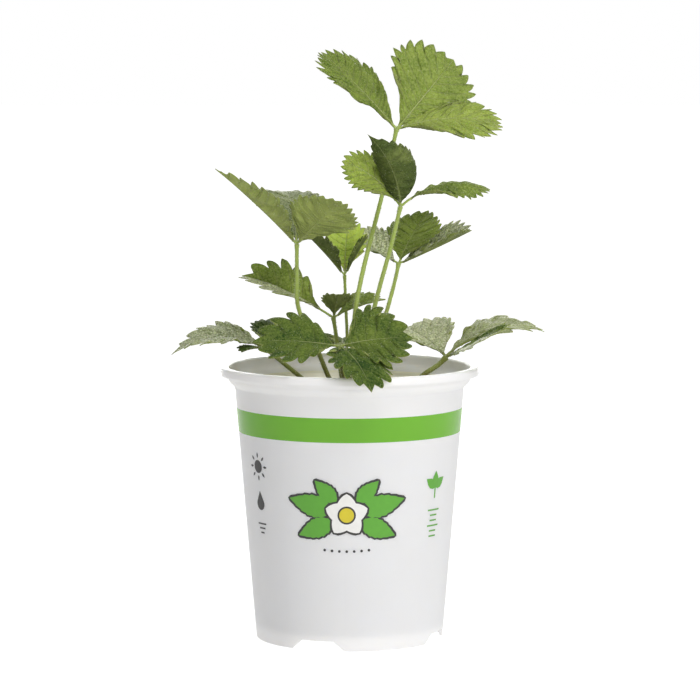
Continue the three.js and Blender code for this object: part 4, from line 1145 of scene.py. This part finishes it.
total_hairs = 0
for number, (name, leaf) in enumerate(LEAVES.items()):
    line, radii = petiole_line(leaf)
    junction = line[-1]
    lines, line_radii = [line], [radii]
    points, faces, sides, values = [], [], [], []
    count = 0
    for k, entry in enumerate(leaf["leaflets"]):
        phase = LEAF_PHASE * number + LEAFLET_PHASE * k
        blade_points, blade_faces, which, blade_values = blade(entry, junction, phase)
        stalk_line, stalk_radii = leaflet_stalk_line(entry, junction, leaf["radius"][1])
        lines.append(stalk_line)
        line_radii.append(stalk_radii)
        material = np.where(which == UNDER, 2, np.isin(which, HOARY_SHEEN_HALVES[entry["silver"]]).astype(int))
        points.append(blade_points)
        faces.append(blade_faces + count)
        sides.append(material)
        values.append(blade_values)
        count += len(blade_points)
    fine = piece(name + "_fine", np.concatenate(points), np.concatenate(faces),
                 [leaf_upper, leaf_hoary_sheen, leaf_under])
    fine.data.polygons.foreach_set("material_index", np.concatenate(sides).astype(np.int32))
    together = {key: np.concatenate([v[key] for v in values]) for key in values[0]}
    set_uv(fine.data, "veins", together["veins_u"], together["veins_v"])
    set_uv(fine.data, "blade", together["blade_u"], together["blade_v"])
    set_values(fine.data, "tone", together["tone"])
    set_values(fine.data, "coat", together["coat"])
    set_values(fine.data, "hair_density", BLADE_HAIRS + MARGIN_HAIRS * together["margin"] ** 3)
    set_values(fine.data, "hair_length", np.full(count, BLADE_HAIR_LENGTH * MM))

    wire_points, wire_edges, wire_radii = [], [], []
    for path, radius_list in zip(lines, line_radii):
        start = len(wire_points)
        wire_points += path.tolist()
        wire_edges += [(start + i, start + i + 1) for i in range(len(path) - 1)]
        wire_radii += list(radius_list * MM)
    wire_mesh = bpy.data.meshes.new("stalk lines")
    wire_mesh.from_pydata(((np.array(wire_points) + AXIS) * MM).tolist(), wire_edges, [])
    wire = new_object("stalk lines", wire_mesh)
    set_values(wire_mesh, "stem_radius", wire_radii)
    stalks = grown(wire, stalk_tree, "stalks", Sides=STALK_SIDES, Groove=STALK_GROOVE,
                   Finish=petiole_skin)
    bpy.data.objects.remove(wire)
    set_values(stalks.data, "hair_density", np.full(len(stalks.data.vertices), STALK_HAIRS))
    set_values(stalks.data, "hair_length", np.full(len(stalks.data.vertices), STALK_HAIR_LENGTH * MM))
    join(fine, [stalks])

    hairs = grown(fine, hair_tree, name + "_hairs", Density=HAIRS_A_MM2, Thickness=HAIR_THICKNESS,
                  Lean=HAIR_LEAN, Seed=number + 1, Finish=hair_finish)
    total_hairs += len(hairs.data.vertices) // 4
    for made in (fine, hairs):
        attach(made, "root")
    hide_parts(name)
print("hairs:", total_hairs)

# %% [markdown]
# ## Soil
# Potting mix is dark peat with lumps, bark crumbs and white perlite. The body is a turned solid
# whose top is raised and lowered by noise. Crumbs and perlite repeat hundreds of times, so they are
# scattered by a node tree, each a few dozen faces, pressed halfway into the surface.

# %% Soil body
SOIL_BOTTOM, SOIL_EDGE_Z, SOIL_MIDDLE_Z = 6.5, 91.0, 92.2
CROWN_RADIUS, CROWN_BOTTOM = 8.6, 80
POT_GAP, CROWN_GAP = 0.4, 0.3
SOIL_SEGMENTS, SOIL_RINGS = 120, 44
LUMP_HEIGHT, LUMP_SCALE, GRIT_HEIGHT, GRIT_SCALE = 0.9, 0.22, 0.5, 0.9
MOST_RISE, MOST_SINK = 1.1, -1.4

peat, tree, shader, place = finish(
    "moist peat potting mix", Roughness=0.92, IOR=1.4, Specular_IOR_Level=0.25)
lumps = add(tree, "ShaderNodeTexNoise", {"Vector": place, "Scale": 260, "Detail": 6, "Roughness": 0.75})
fibres = add(tree, "ShaderNodeTexVoronoi", {"Vector": place, "Scale": 900})
peat_colour = add(tree, "ShaderNodeMix", {
    FACTOR: lumps, COLOUR_A: "#1f1610", COLOUR_B: "#5a4432"}, data_type="RGBA")
peat_bump = add(tree, "ShaderNodeBump", {"Height": fibres, "Strength": 0.9, "Distance": 0.0006})
feed(shader, {"Base Color": peat_colour, "Normal": peat_bump})

soil_side = wall_radius(SOIL_EDGE_Z) - WALL - POT_GAP
hole, hole_floor = CROWN_RADIUS + CROWN_GAP, CROWN_BOTTOM - CROWN_GAP
soil_line = [(0, SOIL_BOTTOM), (wall_radius(SOIL_BOTTOM) - WALL - POT_GAP, SOIL_BOTTOM),
             (soil_side - 0.2, SOIL_EDGE_Z - 1.5), (soil_side - 0.4, SOIL_EDGE_Z - 0.6)]
soil_line += [(r, SOIL_EDGE_Z + (SOIL_MIDDLE_Z - SOIL_EDGE_Z) * (1 - r / soil_side))
              for r in np.linspace(soil_side - 1, hole + 0.6, SOIL_RINGS)]
soil_line += [(hole, SOIL_MIDDLE_Z - 1.2), (hole, hole_floor), (0, hole_floor)]
soil = turned("soil_fine", soil_line, SOIL_SEGMENTS, [peat])
top_share = []
for vert in soil.data.vertices:
    local = (np.array(vert.co) / MM) - AXIS
    reach = math.hypot(local[0], local[1])
    is_top = local[2] > SOIL_EDGE_Z - 0.9 and hole < reach < soil_side - 0.5
    if is_top:
        lump = LUMP_HEIGHT * noise.fractal(Vector(local * LUMP_SCALE), 1.0, 2.0, 5)
        rise = lump + GRIT_HEIGHT * noise.noise(Vector(local * GRIT_SCALE))
        vert.co.z += max(min(rise, MOST_RISE), MOST_SINK) * MM
    top_share.append(1.0 if is_top and hole + 1 < reach < soil_side - 1.5 else 0.0)
set_values(soil.data, "top", top_share)
print("soil faces:", len(soil.data.polygons))

# %% Node tree for crumbs
crumb_tree, given = new_tree("crumbs on the soil", {
    "Density": "Float", "Spacing": "Float", "Size": "Float", "Shape": "Vector", "Seed": "Int",
    "Finish": "Material"})
on_top = add(crumb_tree, "GeometryNodeInputNamedAttribute", {"Name": "top"}, data_type="FLOAT")
scatter = add(crumb_tree, "GeometryNodeDistributePointsOnFaces", {
    "Mesh": given["Geometry"], "Distance Min": given["Spacing"], "Density Max": given["Density"],
    "Density Factor": on_top, "Seed": given["Seed"]}, distribute_method="POISSON")
grain = add(crumb_tree, "GeometryNodeMeshIcoSphere", {"Radius": 0.5, "Subdivisions": 2})
grain_noise = add(crumb_tree, "ShaderNodeTexNoise", {"Scale": 2.2, "Detail": 1})
grain_shift = add(crumb_tree, "ShaderNodeVectorMath", [grain_noise.outputs["Color"], (0.5, 0.5, 0.5)],
                  operation="SUBTRACT")
grain_push = add(crumb_tree, "ShaderNodeVectorMath", {0: grain_shift, "Scale": 0.9}, operation="SCALE")
lumpy = add(crumb_tree, "GeometryNodeSetPosition", {"Geometry": grain, "Offset": grain_push})
shaped = add(crumb_tree, "GeometryNodeTransform", {"Geometry": lumpy, "Scale": given["Shape"]})
tumble = add(crumb_tree, "FunctionNodeRandomValue", {
    0: (-0.5, -0.5, 0), 1: (0.5, 0.5, FULL_TURN), "Seed": given["Seed"]}, data_type="FLOAT_VECTOR")
tumbled = add(crumb_tree, "FunctionNodeEulerToRotation", [tumble])
size_share = add(crumb_tree, "FunctionNodeRandomValue", {2: 0.5, 3: 1.25, "Seed": 9}, data_type="FLOAT")
few_large = add(crumb_tree, "ShaderNodeMath", [size_share, 2], operation="POWER")
grain_size = add(crumb_tree, "ShaderNodeMath", [few_large, given["Size"]], operation="MULTIPLY")
laid = add(crumb_tree, "GeometryNodeInstanceOnPoints", {
    "Points": scatter, "Instance": shaped, "Rotation": tumbled, "Scale": grain_size})
end_tree(crumb_tree, laid, given["Finish"])

GRAIN_RELIEF = (0.6, 0.0004)
ROUGH_GRAIN = dict(IOR=1.45, Specular_IOR_Level=0.3)
perlite = mottled("expanded perlite", "#cfc9ba", "#f2efe6", 1800, 4, GRAIN_RELIEF, Roughness=0.95,
                  **ROUGH_GRAIN)
bark = mottled("composted bark", "#2c1d13", "#7a5836", 900, 4, GRAIN_RELIEF, Roughness=0.85,
               **ROUGH_GRAIN)
crumb = mottled("peat crumb", "#1d140d", "#4b3726", 1100, 4, GRAIN_RELIEF, Roughness=0.95,
                **ROUGH_GRAIN)
CRUMBS = [
    ("soil_perlite", perlite, 26000, 1.4, 2.3, (1, 0.85, 0.75), 11),
    ("soil_bark", bark, 90000, 2.4, 3.6, (1, 0.42, 0.25), 12),
    ("soil_crumbs", crumb, 400000, 1.3, 1.9, (1, 0.8, 0.7), 13),
]
for name, material, density, spacing, size, shape, seed in CRUMBS:
    made = grown(soil, crumb_tree, name, Density=density, Spacing=spacing * MM, Size=size * MM,
                 Shape=shape, Seed=seed, Finish=material)
    made.data.shade_flat()
    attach(made, "root")
    print(name, "faces:", len(made.data.polygons))
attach(soil, "root")
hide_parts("soil")

# %% [markdown]
# ## Crown
# The crown is the short stem between roots and leaves. Old leaf bases leave it knobbly and brown,
# and each petiole foot is wrapped in a papery sheath, the stipule, that ends in a point.

# %% Crown body
CROWN_LINE = [(0, 80), (5, 80), (7.6, 84), (8.6, 89), (8.6, 91), (8.5, 92.2), (7.9, 93.4), (6.4, 94), (0, 94)]
CROWN_ROUNDING, CROWN_SEGMENTS = 1.5, 96
MOST_SWELL = 1.02

crown_skin = mottled("fibrous brown crown", "#3a2a18", "#8c7647", 1100, 4, (0.8, 0.0005), 0.25,
                     Roughness=0.8, IOR=1.45, Specular_IOR_Level=0.3)
crown = turned("crown_fine", rounded(CROWN_LINE, CROWN_ROUNDING, 4), CROWN_SEGMENTS, [crown_skin])
for vert in crown.data.vertices:
    local = np.array(vert.co) / MM - AXIS
    swell = 1 + 0.05 * noise.noise(Vector(local * 0.45)) + 0.02 * noise.noise(Vector(local * 1.7))
    vert.co.x = (local[0] * min(swell, MOST_SWELL) + AXIS[0]) * MM
    vert.co.y = (local[1] * min(swell, MOST_SWELL) + AXIS[1]) * MM
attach(crown, "root")
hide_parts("crown")
print("crown faces:", len(crown.data.polygons))

# %% Papery sheaths round the petioles' feet
SHEATH_HEIGHT, SHEATH_SKIN, SHEATH_SUNK = 9, 0.22, 2.5
SHEATH_ROWS, SHEATH_TURNS = 12, 28
SHEATH_WRAP = 150
SHEATH_LOWEST = 0.35
SHEATH_GAP, SHEATH_FLARE = 0.12, 0.55
SHEATH_DRY_FROM, SHEATH_DRY_TO = 93, 101

papery, tree, shader, place = finish(
    "papery leaf-stalk sheath", Roughness=0.6, IOR=1.4, Subsurface_Weight=0.3,
    Subsurface_Radius=(1, 0.6, 0.3), Subsurface_Scale=0.0005)
height = add(tree, "ShaderNodeSeparateXYZ", [place]).outputs["Z"]
upright = add(tree, "ShaderNodeMapping", {"Vector": place, "Scale": (1, 1, 0.15)})
strands = add(tree, "ShaderNodeTexNoise", {"Vector": upright, "Scale": 1900, "Detail": 3})
drying = add(tree, "ShaderNodeMapRange", {
    "Value": height, "From Min": SHEATH_DRY_FROM * MM, "From Max": SHEATH_DRY_TO * MM})
sheath_low = add(tree, "ShaderNodeMix", {
    FACTOR: strands, COLOUR_A: "#7d8a4a", COLOUR_B: "#b9a878"}, data_type="RGBA")
sheath_colour = add(tree, "ShaderNodeMix", {
    FACTOR: drying, COLOUR_A: sheath_low, COLOUR_B: "#8e5a3c"}, data_type="RGBA")
sheath_bump = add(tree, "ShaderNodeBump", {"Height": strands, "Strength": 0.5, "Distance": 0.0003})
feed(shader, {"Base Color": sheath_colour, "Normal": sheath_bump})

row_share = np.linspace(0, 1, SHEATH_ROWS + 1)[:, None]
round_share = np.linspace(-1, 1, SHEATH_TURNS + 1)[None, :]
arch = np.cos(round_share * np.pi / 2).clip(0) ** 1.5
sheath_points, sheath_faces = [], []
for leaf in LEAVES.values():
    line, radii = petiole_line(leaf)
    turn = math.atan2(leaf["socket"][1], leaf["socket"][0]) + math.radians(SHEATH_WRAP) * round_share
    z = CROWN_TOP - SHEATH_SUNK + SHEATH_HEIGHT * (SHEATH_LOWEST + (1 - SHEATH_LOWEST) * arch) * row_share
    near = np.interp(z, line[:, 2], radii) + SHEATH_GAP + SHEATH_FLARE * row_share ** 3
    x, y = (np.interp(z, line[:, 2], line[:, k]) for k in (0, 1))
    number = len(sheath_points) + np.arange(2 * z.size).reshape(2, *z.shape)
    for r in (near, near + SHEATH_SKIN):
        ring = np.stack([x + r * np.cos(turn), y + r * np.sin(turn), z], -1)
        sheath_points += ring.reshape(-1, 3).tolist()
    inner, outer = number
    sheath_faces += [
        *quads(outer[:-1, :-1], outer[:-1, 1:], outer[1:, 1:], outer[1:, :-1]),
        *quads(inner[:-1, :-1], inner[1:, :-1], inner[1:, 1:], inner[:-1, 1:]),
        *quads(inner[:-1, 0], outer[:-1, 0], outer[1:, 0], inner[1:, 0]),
        *quads(outer[:-1, -1], inner[:-1, -1], inner[1:, -1], outer[1:, -1]),
        *quads(inner[0, :-1], inner[0, 1:], outer[0, 1:], outer[0, :-1]),
        *quads(outer[-1, :-1], outer[-1, 1:], inner[-1, 1:], inner[-1, :-1])]
sheaths = piece("crown_sheaths", sheath_points, sheath_faces, [papery])
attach(sheaths, "root")
print("sheath faces:", len(sheath_faces))
